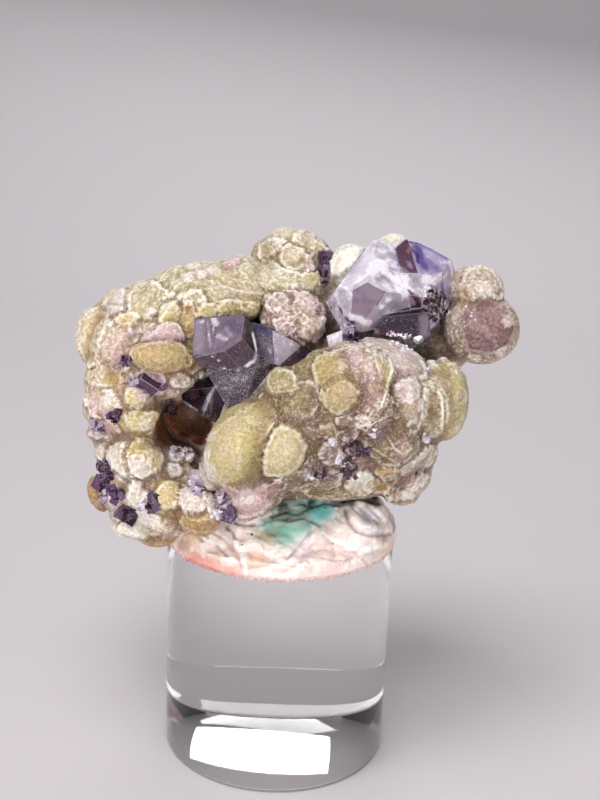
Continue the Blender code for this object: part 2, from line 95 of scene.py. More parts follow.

# The looks of the crust: the colour of the body of a lobe, the paler colour of its crests and
# rims, which is painted highlight, and how strongly small grown bumps stand out of it
Look = namedtuple("Look", "body crest bumps")
LOOKS = {
    "dome": Look((190, 176, 136), (240, 232, 214), 0.9),
    "far": Look((208, 184, 140), (246, 236, 222), 0.7),
    "rosy": Look((196, 166, 144), (240, 224, 214), 0.9),
    "pink": Look((202, 166, 164), (240, 222, 222), 0.5),
    "amber": Look((184, 152, 96), (222, 202, 158), 0.25),
    # deep_amber is kept dark partly as painted shade, for where it lies under the crust at the lower
    # middle
    "deep_amber": Look((160, 120, 68), (204, 172, 120), 0.3),
    "yellow": Look((200, 178, 118), (236, 222, 180), 0.5),
    "white": Look((212, 194, 178), (251, 244, 238), 0.8),
    "milk": Look((224, 210, 202), (250, 246, 242), 0.6),
    "mauve": Look((166, 134, 128), (224, 204, 198), 0.9),
    "knob": Look((204, 186, 154), (244, 234, 218), 0.6),
    "tan": Look((172, 152, 124), (220, 206, 184), 0.6),
    "cream": Look((246, 240, 224), (255, 252, 246), 0.5),
    "green": Look((192, 174, 116), (230, 220, 178), 0.2),
    "olive": Look((128, 110, 72), (188, 174, 134), 0.5),
    "button": Look((194, 174, 124), (238, 228, 200), 0.2),
    "pale": Look((210, 192, 174), (242, 234, 224), 0.5),
    "lilac": Look((202, 178, 172), (244, 234, 230), 0.5),
    "grey": Look((142, 118, 104), (198, 178, 162), 0.7),
    "violet": Look((122, 94, 94), (186, 162, 158), 0.5),
    "brown": Look((118, 94, 74), (184, 162, 140), 0.5),
    "pocket": Look((98, 24, 2), (140, 64, 22), 0.6),
    "ball": Look((176, 152, 132), (228, 214, 202), 0.8),
    "moss": Look((158, 140, 94), (206, 194, 150), 0.5),
    "sage": Look((182, 164, 124), (226, 216, 186), 0.5),
    "honey": Look((166, 142, 88), (216, 198, 152), 0.2),
    "disc": Look((112, 76, 80), (168, 138, 134), 0.15),
}

# u and v are a place in the front view; depth is the centre's y in mm; wide, deep and
# tall are half sizes in mm; tilt turns the lobe in the picture plane, in degrees
Lobe = namedtuple("Lobe", "u v depth wide deep tall look tilt", defaults=(0,))

UPPER_LEFT = [
    Lobe(192, 322, 3, 9.0, 9.0, 5.6, "dome", 14),
    Lobe(150, 331, 2, 5.0, 7.0, 4.6, "dome"),
    Lobe(240, 303, 5, 4.5, 7.0, 4.2, "dome"),
    Lobe(101, 352, 5, 3.1, 5.0, 4.4, "far"),
    Lobe(119, 325, 7, 2.8, 4.0, 2.9, "far"),
    Lobe(125, 362, -1, 3.9, 5.0, 4.6, "rosy"),
    Lobe(110, 397, -2, 3.2, 5.0, 4.2, "rosy"),
    Lobe(160, 378, -3, 5.5, 6.0, 4.2, "rosy"),
    Lobe(166, 353, -6, 2.7, 3.0, 2.1, "pink"),
    Lobe(161, 371, -9, 3.8, 3.0, 1.8, "amber"),
    Lobe(196, 352, -3, 3.0, 4.0, 3.2, "yellow"),
    Lobe(193, 315, -3, 2.3, 2.5, 1.8, "yellow"),
    Lobe(173, 328, -4, 1.6, 2.0, 1.6, "yellow"),
    Lobe(218, 320, -2, 2.2, 2.6, 1.5, "yellow"),
    Lobe(240, 320, -1, 2.2, 2.6, 1.6, "yellow"),
]

LOWER_LEFT = [
    Lobe(130, 414, -3, 4.6, 5.5, 4.3, "rosy"),
    Lobe(138, 411, -8.6, 1.8, 1.8, 1.8, "yellow"),
    Lobe(142, 433, -7.5, 2.8, 3.0, 1.7, "yellow", 8),
    Lobe(103, 420, -4, 2.5, 3.5, 2.6, "rosy"),
    Lobe(95, 446, -3, 1.2, 1.6, 0.8, "pink"),
    Lobe(139, 474, -7, 3.5, 4.0, 3.0, "white"),
    Lobe(108, 463, -4, 1.7, 3.0, 2.1, "white"),
    Lobe(157, 453, -5.5, 1.6, 2.0, 1.7, "dome"),
    Lobe(130, 495, -4, 3.9, 5.0, 5.0, "rosy"),
    Lobe(137, 507, -9, 1.5, 2.0, 2.0, "white"),
    Lobe(166, 511, -10, 1.9, 2.2, 2.1, "yellow"),
    Lobe(98, 508, 1, 1.3, 2.0, 2.5, "deep_amber", 20),
    Lobe(130, 533, -5, 2.6, 3.5, 2.2, "cream"),
    Lobe(143, 543, -7, 1.8, 2.0, 1.5, "milk"),
    Lobe(157, 549, -6, 2.5, 3.0, 1.2, "amber"),
    # Darker amber here also paints the shade under the crust's overhang
    Lobe(199, 524, -11, 2.8, 3.0, 2.9, "deep_amber"),
    Lobe(168, 534, -9, 1.8, 2.0, 1.5, "rosy"),
    Lobe(176, 512, -5, 5.6, 6.0, 4.6, "rosy"),
    Lobe(174, 474, -5.5, 1.1, 1.6, 1.9, "white"),
    Lobe(184, 472, -5, 1.3, 1.8, 1.7, "mauve"),
]

RIGHT_FRONT = [
    Lobe(330, 440, -5, 13.0, 9.0, 7.6, "grey"),
    Lobe(325, 480, -3, 11.5, 8.0, 3.6, "grey"),
    Lobe(237, 458, -11, 3.6, 5.5, 5.4, "green", -25),
    Lobe(214, 475, -8.5, 1.8, 4.5, 3.6, "white", -8),
    Lobe(284, 463, -13.4, 3.6, 3.0, 4.2, "olive", -12),
    Lobe(266, 452, -11.2, 4.6, 3.0, 4.0, "olive"),
    Lobe(310, 420, -12.0, 5.0, 2.6, 5.5, "olive"),
    Lobe(283, 399, -11, 2.1, 3.0, 2.1, "moss"),
    Lobe(294, 424, -12, 2.6, 3.0, 1.9, "olive"),
    Lobe(341, 406, -12.6, 4.4, 2.6, 4.0, "rosy"),
    Lobe(324, 388, -12.0, 3.0, 2.2, 3.0, "olive"),
    Lobe(352, 386, -10, 4.6, 4.5, 3.6, "rosy"),
    Lobe(388, 380, -6, 5.4, 5.0, 2.6, "lilac", -22),
    Lobe(406, 420, -10, 2.3, 4.0, 4.0, "pale"),
    Lobe(430, 420, -7.5, 2.0, 4.0, 3.9, "tan"),
    Lobe(445, 414, -4, 2.3, 5.0, 5.0, "sage"),
    Lobe(430, 382, -5, 0.9, 1.4, 0.8, "lilac"),
    Lobe(443, 380, -4, 1.0, 1.4, 0.9, "lilac"),
    Lobe(372, 424, -13, 2.8, 3.0, 2.8, "brown"),
    Lobe(390, 452, -10.5, 3.6, 4.5, 3.6, "brown"),
    Lobe(330, 442, -13, 1.6, 1.6, 1.5, "grey"),
    Lobe(332, 467, -12.5, 1.5, 1.6, 1.5, "violet"),
    Lobe(352, 463, -12.5, 1.4, 1.5, 1.3, "violet"),
    Lobe(353, 483, -11.5, 1.5, 1.6, 1.2, "violet"),
    Lobe(311, 480, -12.5, 1.7, 1.6, 1.5, "grey"),
    Lobe(388, 485, -7, 1.4, 1.8, 1.1, "amber"),
    Lobe(410, 487, -4, 2.6, 4.0, 2.6, "pale"),
    Lobe(426, 468, -2, 1.3, 3.0, 1.7, "pale"),
    Lobe(400, 507, -3, 2.4, 4.0, 0.9, "rosy"),
    Lobe(358, 496, -8, 2.1, 3.0, 1.2, "rosy"),
    Lobe(251, 506, -11.5, 3.1, 3.0, 2.2, "pink"),
    Lobe(245, 523, -11, 1.6, 1.8, 1.5, "pink"),
    Lobe(261, 523, -10.5, 1.4, 1.8, 0.9, "milk"),
    Lobe(292, 490, -10, 3.4, 3.5, 1.6, "grey"),
    Lobe(298, 500, -7, 3.6, 4.0, 1.0, "brown"),
]

UPPER_MIDDLE = [
    Lobe(293, 334, 0, 4.2, 4.5, 3.3, "mauve"),
    Lobe(286, 266, 8, 3.2, 4.0, 3.2, "knob"),
    Lobe(311, 271, 8, 2.5, 3.6, 2.7, "tan"),
    Lobe(266, 271, 8, 2.0, 3.0, 2.4, "tan"),
    Lobe(296, 276, 4.5, 1.9, 2.0, 1.8, "knob"),
    Lobe(288, 298, 4, 4.8, 5.0, 2.9, "dome"),
    Lobe(351, 284, 4.5, 3.1, 4.0, 3.3, "cream"),
    Lobe(393, 264, 9, 2.4, 3.0, 2.1, "cream"),
    Lobe(390, 318, 8, 7.0, 7.0, 6.4, "grey"),
    Lobe(350, 330, 5, 5.0, 5.0, 5.0, "mauve"),
]

RIGHT_BALL = [
    Lobe(474, 303, 4, 3.6, 4.5, 2.9, "ball"),
    Lobe(481, 343, 1.5, 4.8, 4.2, 4.5, "ball"),
    Lobe(442, 357, 7, 4.0, 5.0, 3.6, "ball"),
    Lobe(452, 325, 8, 4.0, 4.6, 3.6, "ball"),
]

# A cap is a lobe traced in the front view: its outline, how many mm it stands out and its look
Cap = namedtuple("Cap", "high look outline")

UPPER_LEFT_CAPS = [
    Cap(0.6, "far", [(77, 350), (80, 335), (88, 325), (98, 321), (106, 325), (110, 335), (107, 345),
                     (103, 355), (100, 368), (97, 380), (90, 383), (84, 372), (79, 362)]),
    Cap(0.5, "milk", [(100, 320), (108, 311), (116, 304), (126, 305), (128, 313), (126, 322),
                      (116, 324), (106, 324)]),
    Cap(0.7, "pink", [(103, 326), (112, 321), (124, 321), (128, 326), (120, 331), (108, 331)]),
    Cap(0.5, "rosy", [(98, 380), (96, 368), (99, 352), (106, 340), (114, 331), (124, 327),
                      (136, 326), (138, 334), (130, 341), (133, 349), (140, 352), (136, 358),
                      (131, 366), (131, 376), (128, 384), (116, 388), (104, 388)]),
    Cap(0.8, "yellow", [(116, 334), (124, 327), (136, 326), (140, 333), (132, 341), (120, 341)]),
    Cap(0.5, "dome", [(127, 318), (128, 308), (136, 301), (150, 296), (160, 299), (168, 307),
                      (166, 318), (157, 326), (150, 333), (140, 332), (130, 326)]),
    Cap(0.7, "yellow", [(158, 332), (162, 322), (168, 317), (175, 316), (180, 322), (180, 336),
                        (172, 340), (160, 338)]),
    Cap(0.5, "deep_amber", [(182, 318), (192, 316), (197, 330), (195, 345), (190, 352), (184, 348),
                            (181, 335)]),
    Cap(0.5, "dome", [(176, 312), (186, 305), (196, 303), (203, 309), (206, 316), (196, 318),
                      (184, 318)]),
    Cap(0.3, "yellow", [(196, 330), (197, 322), (204, 318), (214, 318), (218, 325), (213, 333),
                        (203, 332)]),
    Cap(0.35, "yellow", [(216, 320), (224, 314), (236, 313), (243, 319), (242, 328), (230, 332),
                        (218, 331)]),
    Cap(0.3, "yellow", [(243, 321), (250, 317), (258, 318), (259, 325), (253, 331), (244, 329)]),
    Cap(0.9, "pink", [(140, 357), (146, 350), (155, 345), (162, 339), (170, 337), (178, 339),
                      (182, 345), (184, 354), (176, 357), (160, 357), (148, 359)]),
    Cap(1.1, "amber", [(130, 372), (131, 364), (138, 360), (150, 357), (165, 356), (178, 357),
                       (186, 362), (188, 370), (184, 378), (176, 384), (160, 384), (145, 381),
                       (135, 381)]),
    Cap(0.5, "deep_amber", [(186, 362), (196, 370), (200, 380), (192, 386), (182, 387), (186, 376)]),
    Cap(0.4, "yellow", [(88, 384), (100, 380), (118, 386), (124, 394), (118, 402), (104, 401),
                        (92, 400), (86, 393)]),
    Cap(0.4, "pink", [(132, 392), (138, 384), (150, 383), (162, 388), (166, 398), (160, 408),
                      (146, 411), (136, 404)]),
    Cap(0.6, "rosy", [(168, 392), (176, 387), (186, 388), (190, 395), (183, 401), (172, 400)]),
]

LOWER_LEFT_CAPS = [
    Cap(0.6, "rosy", [(84, 410), (90, 402), (100, 402), (112, 404), (119, 412), (121, 422),
                      (116, 430), (104, 434), (92, 430), (86, 420)]),
    Cap(0.6, "pink", [(88, 438), (94, 432), (104, 434), (114, 430), (122, 434), (122, 444),
                      (112, 451), (96, 452), (89, 448)]),
    Cap(0.9, "yellow", [(126, 404), (132, 400), (140, 403), (147, 409), (146, 418), (140, 424),
                        (131, 422), (126, 414)]),
    Cap(0.9, "yellow", [(123, 428), (132, 424), (144, 425), (156, 426), (160, 432), (157, 440),
                        (146, 444), (134, 444), (125, 438)]),
    Cap(0.7, "white", [(108, 470), (110, 460), (118, 456), (127, 458), (125, 470), (128, 482),
                       (134, 490), (124, 490), (114, 482)]),
    Cap(0.9, "yellow", [(125, 470), (129, 458), (138, 452), (150, 454), (159, 462), (163, 474),
                        (160, 484), (150, 490), (140, 492), (130, 486), (125, 478)]),
    Cap(1.1, "white", [(126, 476), (132, 470), (142, 470), (150, 476), (152, 486), (142, 492),
                       (131, 488)]),
    Cap(0.5, "dome", [(147, 450), (153, 444), (162, 446), (165, 455), (159, 462), (150, 457)]),
    Cap(0.8, "milk", [(168, 466), (174, 461), (181, 464), (182, 472), (177, 477), (170, 475)]),
    Cap(0.8, "white", [(165, 484), (168, 478), (176, 478), (181, 484), (178, 491), (170, 492)]),
    Cap(0.9, "white", [(127, 510), (128, 500), (133, 494), (140, 496), (146, 502), (148, 512),
                       (142, 520), (134, 520), (128, 516)]),
    Cap(0.8, "yellow", [(155, 506), (160, 497), (170, 494), (177, 497), (178, 508), (176, 520),
                        (170, 526), (162, 522), (156, 515)]),
    Cap(0.6, "milk", [(178, 508), (184, 500), (196, 496), (204, 502), (207, 514), (204, 524),
                      (194, 530), (184, 526), (178, 518)]),
    Cap(0.6, "lilac", [(206, 508), (214, 506), (222, 512), (226, 522), (232, 532), (226, 537),
                       (216, 536), (208, 528), (206, 518)]),
    # Darker amber here also paints the shade under the crust's overhang
    Cap(0.8, "deep_amber", [(178, 534), (184, 527), (196, 530), (208, 527), (218, 532), (222, 540),
                       (212, 546), (198, 548), (184, 543)]),
    Cap(0.6, "cream", [(118, 540), (126, 530), (140, 524), (152, 524), (160, 530), (164, 540),
                      (158, 548), (146, 552), (132, 550), (120, 548)]),
    Cap(0.5, "pink", [(108, 512), (116, 506), (126, 512), (130, 522), (124, 530), (115, 536),
                      (110, 526)]),
]

RIGHT_CAPS = [
    Cap(0.5, "olive", [(290, 402), (300, 396), (312, 396), (318, 404), (318, 420), (312, 430),
                       (300, 436), (286, 434), (276, 426), (274, 414), (280, 408)]),
    Cap(0.6, "moss", [(266, 398), (268, 388), (275, 383), (285, 383), (293, 387), (297, 393),
                       (296, 402), (290, 408), (278, 410), (270, 407)]),
    Cap(0.7, "pink", [(296, 385), (303, 380), (312, 380), (316, 386), (313, 394), (304, 396),
                      (297, 392)]),
    Cap(0.5, "green", [(201, 472), (203, 460), (210, 448), (222, 436), (235, 427), (247, 419),
                       (258, 413), (270, 416), (275, 425), (274, 436), (268, 447), (263, 460),
                       (261, 475), (261, 488), (255, 496), (243, 502), (230, 502), (220, 500),
                       (212, 494), (205, 485)]),
    Cap(0.6, "green", [(246, 422), (256, 414), (269, 416), (275, 425), (272, 437), (262, 443),
                       (252, 440), (245, 432)]),
    Cap(1.5, "button", [(262, 486), (262, 476), (264, 465), (268, 455), (273, 444), (283, 436),
                        (292, 441), (300, 446), (304, 453), (307, 460), (304, 470), (300, 478),
                        (292, 486), (280, 490), (268, 489)]),
    Cap(0.7, "mauve", [(330, 366), (345, 361), (358, 360), (370, 363), (381, 370), (390, 379),
                       (392, 388), (391, 395), (386, 399), (384, 404), (385, 411), (384, 418),
                       (380, 424), (372, 429), (360, 428), (348, 428), (336, 430), (322, 420),
                       (318, 396), (320, 376)]),
    Cap(0.9, "button", [(372, 365), (381, 371), (390, 379), (392, 388), (391, 395), (386, 399),
                        (380, 394), (379, 384), (374, 374)]),
    Cap(1.0, "honey", [(318, 372), (326, 367), (337, 367), (343, 374), (344, 384), (346, 391),
                       (356, 397), (361, 404), (359, 413), (352, 421), (345, 426), (337, 428),
                       (330, 425), (323, 424), (320, 415), (321, 404), (315, 396), (313, 387),
                       (314, 379)]),
    Cap(1.6, "honey", [(326, 402), (333, 395), (341, 391), (348, 393), (356, 398), (361, 405),
                        (358, 413), (352, 420), (344, 425), (336, 427), (329, 424), (323, 418),
                        (322, 409)]),
    Cap(0.5, "lilac", [(362, 352), (372, 347), (390, 352), (405, 360), (418, 369), (425, 380),
                       (427, 390), (420, 394), (408, 392), (396, 395), (394, 382), (388, 372),
                       (378, 363), (366, 359)]),
    Cap(0.7, "tan", [(393, 404), (398, 395), (407, 391), (415, 393), (420, 400), (421, 412),
                     (420, 425), (416, 436), (408, 440), (400, 436), (396, 425), (395, 414)]),
    Cap(0.5, "lilac", [(394, 404), (398, 395), (407, 391), (415, 393), (419, 401), (418, 411),
                      (410, 416), (400, 414)]),
    Cap(0.6, "tan", [(422, 392), (430, 398), (437, 407), (441, 413), (442, 430), (441, 446),
                     (432, 452), (424, 446), (421, 434), (423, 418), (424, 404)]),
    Cap(0.8, "sage", [(430, 380), (440, 376), (452, 378), (462, 390), (466, 408), (465, 425),
                       (461, 436), (455, 448), (446, 454), (441, 450), (443, 430), (442, 412),
                       (436, 402), (428, 392)]),
    Cap(0.6, "brown", [(362, 430), (374, 425), (384, 418), (390, 408), (396, 420), (398, 434),
                       (388, 431), (374, 435), (364, 440)]),
    Cap(0.8, "brown", [(362, 446), (372, 436), (386, 430), (400, 436), (412, 444), (420, 452),
                       (418, 464), (408, 474), (396, 480), (384, 480), (372, 472), (364, 460)]),
    Cap(0.6, "violet", [(319, 462), (324, 456), (333, 455), (340, 460), (342, 468), (338, 476),
                        (330, 480), (322, 476), (318, 470)]),
    Cap(0.5, "violet", [(340, 446), (346, 440), (356, 442), (358, 450), (352, 456), (343, 454)]),
    Cap(0.4, "brown", [(318, 444), (322, 437), (334, 438), (340, 446), (336, 454), (324, 452)]),
    Cap(0.5, "mauve", [(336, 431), (344, 425), (356, 429), (368, 430), (372, 436), (362, 441),
                       (348, 439), (338, 438)]),
    Cap(0.5, "violet", [(318, 482), (330, 482), (342, 486), (340, 496), (326, 502), (314, 498)]),
    Cap(0.5, "cream", [(343, 500), (347, 493), (358, 486), (366, 484), (373, 490), (375, 500),
                       (366, 507), (352, 507)]),
    Cap(0.6, "amber", [(374, 484), (384, 480), (397, 482), (394, 490), (382, 492)]),
    Cap(0.4, "deep_amber", [(370, 494), (382, 494), (394, 500), (386, 507), (374, 506)]),
    Cap(0.7, "pale", [(398, 486), (404, 478), (414, 474), (424, 462), (434, 458), (435, 468),
                      (430, 478), (424, 483), (414, 486), (406, 492)]),
    Cap(0.8, "lilac", [(404, 496), (410, 489), (424, 484), (428, 490), (421, 500), (412, 504),
                       (404, 502)]),
    Cap(0.5, "rosy", [(385, 509), (398, 503), (412, 504), (414, 510), (400, 513), (387, 513)]),
    Cap(0.4, "olive", [(302, 503), (316, 498), (330, 500), (345, 502), (352, 508), (340, 512),
                       (318, 512), (306, 509)]),
    Cap(0.6, "pink", [(222, 500), (240, 503), (255, 498), (270, 496), (283, 490), (279, 504),
                      (272, 516), (264, 525), (252, 530), (243, 532), (234, 528), (226, 518),
                      (220, 508)]),
    Cap(0.3, "brown", [(285, 488), (300, 485), (318, 488), (316, 497), (302, 502), (286, 510),
                       (278, 518), (281, 502)]),
]

TOP_CAPS = [
    Cap(0.5, "tan", [(258, 270), (260, 260), (268, 254), (278, 252), (284, 258), (280, 266),
                     (270, 272), (260, 274)]),
    Cap(0.6, "tan", [(312, 254), (320, 256), (327, 264), (327, 276), (320, 284), (310, 282),
                     (308, 270)]),
    Cap(0.6, "knob", [(293, 250), (302, 246), (312, 250), (316, 258), (308, 266), (298, 262),
                      (291, 257)]),
    Cap(0.4, "knob", [(282, 262), (290, 258), (300, 262), (308, 270), (306, 280), (296, 286),
                        (284, 282), (279, 272)]),
    Cap(0.7, "pink", [(303, 270), (310, 272), (312, 284), (306, 288), (301, 280)]),
    Cap(0.4, "dome", [(258, 276), (270, 274), (284, 284), (300, 288), (316, 288), (326, 296),
                      (322, 308), (306, 306), (290, 303), (272, 305), (256, 300), (250, 286)]),
    Cap(0.4, "mauve", [(258, 322), (262, 312), (274, 306), (290, 304), (304, 306), (316, 312),
                       (324, 322), (325, 336), (320, 350), (310, 360), (296, 360), (282, 354),
                       (268, 346), (259, 334)]),
    Cap(0.9, "pink", [(292, 308), (304, 308), (314, 314), (318, 324), (310, 330), (300, 324),
                      (294, 316)]),
    Cap(0.8, "mauve", [(264, 314), (276, 308), (288, 310), (290, 320), (280, 328), (268, 326)]),
    Cap(0.9, "rosy", [(300, 334), (310, 328), (322, 330), (322, 344), (314, 354), (302, 352),
                      (297, 343)]),
    Cap(0.8, "mauve", [(272, 334), (284, 329), (294, 334), (296, 346), (286, 352), (276, 346)]),
    Cap(0.5, "cream", [(330, 276), (340, 266), (354, 262), (364, 262), (356, 276), (344, 288),
                       (332, 292)]),
]

BALL_CAPS = [
    Cap(0.5, "ball", [(458, 300), (466, 284), (480, 279), (494, 286), (504, 304), (500, 314),
                      (486, 311), (470, 316), (460, 312)]),
    Cap(0.25, "disc", [(458, 336), (467, 319), (486, 312), (506, 320), (516, 343), (507, 361),
                      (487, 369), (466, 364)]),
]

# The round lobe at the right end has grown flat here: place, and how deep the flat is in mm
BALL_FLAT = (486, 341, 0.9)

# A bump is a small cap of this radius in pixels that stands this many mm out
Bump = namedtuple("Bump", "u v radius high look")

UPPER_LEFT_BUMPS = [
    Bump(155, 312, 8, 0.7, "dome"), Bump(153, 325, 4, 0.6, "milk"), Bump(172, 310, 5, 0.5, "white"),
    Bump(171, 319, 6, 0.5, "dome"), Bump(140, 310, 7, 0.4, "dome"), Bump(137, 323, 6, 0.4, "yellow"),
    Bump(187, 292, 9, 0.5, "milk"), Bump(201, 290, 7, 0.5, "white"), Bump(176, 298, 7, 0.4, "dome"),
    Bump(163, 293, 7, 0.4, "dome"), Bump(213, 286, 8, 0.4, "milk"), Bump(232, 277, 9, 0.5, "pink"),
    Bump(246, 283, 9, 0.4, "dome"), Bump(192, 281, 9, 0.4, "white"), Bump(174, 285, 8, 0.4, "dome"),
    Bump(226, 292, 9, 0.3, "yellow"), Bump(146, 303, 6, 0.4, "dome"), Bump(110, 346, 7, 0.4, "dome"),
    Bump(108, 362, 8, 0.4, "rosy"), Bump(122, 356, 8, 0.4, "rosy"), Bump(118, 368, 7, 0.4, "pink"),
    Bump(107, 378, 7, 0.4, "rosy"), Bump(140, 345, 9, 0.4, "milk"), Bump(150, 341, 7, 0.4, "dome"),
    Bump(88, 334, 10, 0.4, "far"), Bump(88, 356, 9, 0.4, "far"), Bump(91, 372, 7, 0.4, "far"),
    Bump(200, 389, 4, 0.7, "milk"), Bump(190, 395, 4, 0.5, "milk"), Bump(173, 408, 7, 0.4, "rosy"),
    Bump(186, 338, 8, 0.4, "yellow"), Bump(98, 391, 8, 0.4, "rosy"), Bump(112, 394, 7, 0.4, "amber"),
]

LOWER_LEFT_BUMPS = [
    Bump(97, 412, 8, 0.4, "pink"), Bump(108, 416, 8, 0.4, "milk"), Bump(92, 423, 7, 0.4, "pink"),
    Bump(131, 434, 7, 0.4, "yellow"), Bump(146, 436, 8, 0.3, "dome"), Bump(117, 463, 7, 0.4, "milk"),
    Bump(138, 464, 8, 0.4, "yellow"), Bump(150, 468, 8, 0.4, "dome"), Bump(118, 478, 7, 0.4, "white"),
    Bump(120, 451, 7, 0.4, "yellow"), Bump(105, 456, 7, 0.4, "white"), Bump(188, 470, 6, 0.5, "mauve"),
    Bump(186, 484, 6, 0.4, "white"), Bump(146, 530, 8, 0.4, "milk"), Bump(134, 540, 8, 0.4, "milk"),
    Bump(152, 541, 8, 0.4, "rosy"), Bump(168, 538, 8, 0.5, "rosy"), Bump(115, 519, 6, 0.4, "pink"),
    Bump(188, 508, 6, 0.3, "milk"), Bump(198, 518, 6, 0.3, "rosy"), Bump(216, 518, 6, 0.3, "milk"),
    Bump(147, 497, 6, 0.4, "rosy"), Bump(120, 493, 7, 0.4, "rosy"), Bump(186, 494, 6, 0.4, "rosy"),
    Bump(151, 553, 8, 0.3, "deep_amber"), Bump(97, 502, 8, 0.4, "deep_amber"),
    Bump(101, 516, 7, 0.4, "deep_amber"), Bump(160, 487, 6, 0.4, "rosy"), Bump(108, 540, 6, 0.4, "rosy"),
]

RIGHT_BUMPS = [
    Bump(276, 464, 10, 1.75, "button"), Bump(262, 417, 6, 1.0, "green"), Bump(303, 404, 7, 0.5, "olive"),
    Bump(288, 424, 7, 0.4, "olive"), Bump(304, 420, 8, 0.5, "brown"), Bump(366, 380, 9, 0.4, "rosy"),
    Bump(352, 372, 9, 0.5, "pink"), Bump(372, 400, 9, 0.4, "rosy"), Bump(400, 364, 8, 0.4, "lilac"),
    Bump(413, 378, 7, 0.4, "lilac"), Bump(380, 356, 7, 0.4, "milk"), Bump(430, 379, 5, 0.9, "milk"),
    Bump(443, 377, 6, 0.9, "milk"), Bump(408, 428, 8, 0.6, "tan"), Bump(455, 400, 9, 0.6, "green"),
    Bump(458, 424, 9, 0.6, "green"), Bump(448, 443, 8, 0.6, "yellow"), Bump(431, 424, 8, 0.5, "olive"),
    Bump(312, 446, 8, 0.4, "grey"), Bump(311, 480, 9, 0.5, "grey"), Bump(389, 458, 9, 0.4, "brown"),
    Bump(402, 462, 8, 0.4, "tan"), Bump(376, 442, 7, 0.4, "brown"), Bump(420, 470, 8, 0.5, "white"),
    Bump(246, 510, 9, 0.4, "milk"), Bump(262, 516, 9, 0.4, "pink"), Bump(236, 521, 8, 0.4, "milk"),
    Bump(208, 454, 7, 0.5, "milk"), Bump(206, 471, 8, 0.5, "white"), Bump(209, 487, 8, 0.5, "milk"),
]

TOP_BUMPS = [
    Bump(281, 257, 6, 0.6, "milk"), Bump(280, 289, 5, 0.6, "milk"), Bump(293, 302, 5, 0.5, "milk"),
    Bump(308, 294, 9, 0.4, "yellow"), Bump(270, 284, 8, 0.4, "dome"), Bump(301, 356, 4, 0.7, "milk"),
    Bump(265, 337, 4, 0.7, "milk"), Bump(388, 254, 8, 0.4, "cream"), Bump(400, 253, 6, 0.4, "cream"),
    Bump(338, 282, 8, 0.4, "cream"),
]

BALL_BUMPS = [
    Bump(474, 288, 9, 0.4, "ball"), Bump(488, 292, 8, 0.4, "ball"), Bump(484, 304, 9, 0.4, "white"),
    Bump(463, 308, 7, 0.4, "deep_amber"), Bump(450, 350, 8, 0.4, "brown"), Bump(457, 364, 7, 0.4, "brown"),
    Bump(511, 334, 7, 0.4, "pale"), Bump(500, 365, 7, 0.4, "pink"), Bump(474, 371, 7, 0.4, "rosy"),
]

# The body that the lobes grew on, and its back: centres and half sizes in mm
BODY = [
    ((0, 4, 47), (18.5, 12, 10.5)),
    ((-13, 11, 50), (7.5, 7, 7.5)),
    ((-4, 14, 47), (8, 6.5, 8.5)),
    ((7, 14, 49), (8, 6.5, 8.0)),
    ((15, 9, 47), (6, 7, 7)),
    ((-18, 8, 44), (5, 6, 7)),
    ((0, 9, 55), (8, 7, 6)),
    ((11, 9, 56), (6, 6, 6)),
    ((6, 12, 41), (8, 6, 5.5)),
    ((-9, 10, 41), (8, 7, 6)),
    ((-20.0, 2.0, 37.2), (4.4, 4.4, 4.6)),
]

# Lobes strewn over the sides and the back, where the front view does not reach
STREWN_SEED = 11
STREWN_TRIES = 900
STREWN_SPACING = 3.6
STREWN_SIZE = (1.8, 3.8)
STREWN_LOOKS = ["dome", "far", "rosy", "yellow", "dome", "tan", "mauve", "green"]

# The crust is cut flat here, where it sits in the putty
SEAT_HEIGHT = 34.8 * MM
SEAT_RADIUS = 11.5 * MM

# The open pocket left of the middle
POCKET = [
    Lobe(183, 446, -8.5, 3.3, 8.5, 2.9, "pocket", 12),
    Lobe(169, 438, -9.0, 1.5, 5.0, 1.5, "pocket"),
    Lobe(191, 463, -9.5, 1.7, 6.0, 1.6, "pocket"),
]

# A colour spot colours the surface round a place, with a radius in pixels and a strength. Most
# are stains; a few are painted shade, marked where they stand.
ColourSpot = namedtuple("ColourSpot", "u v radius colour strength")

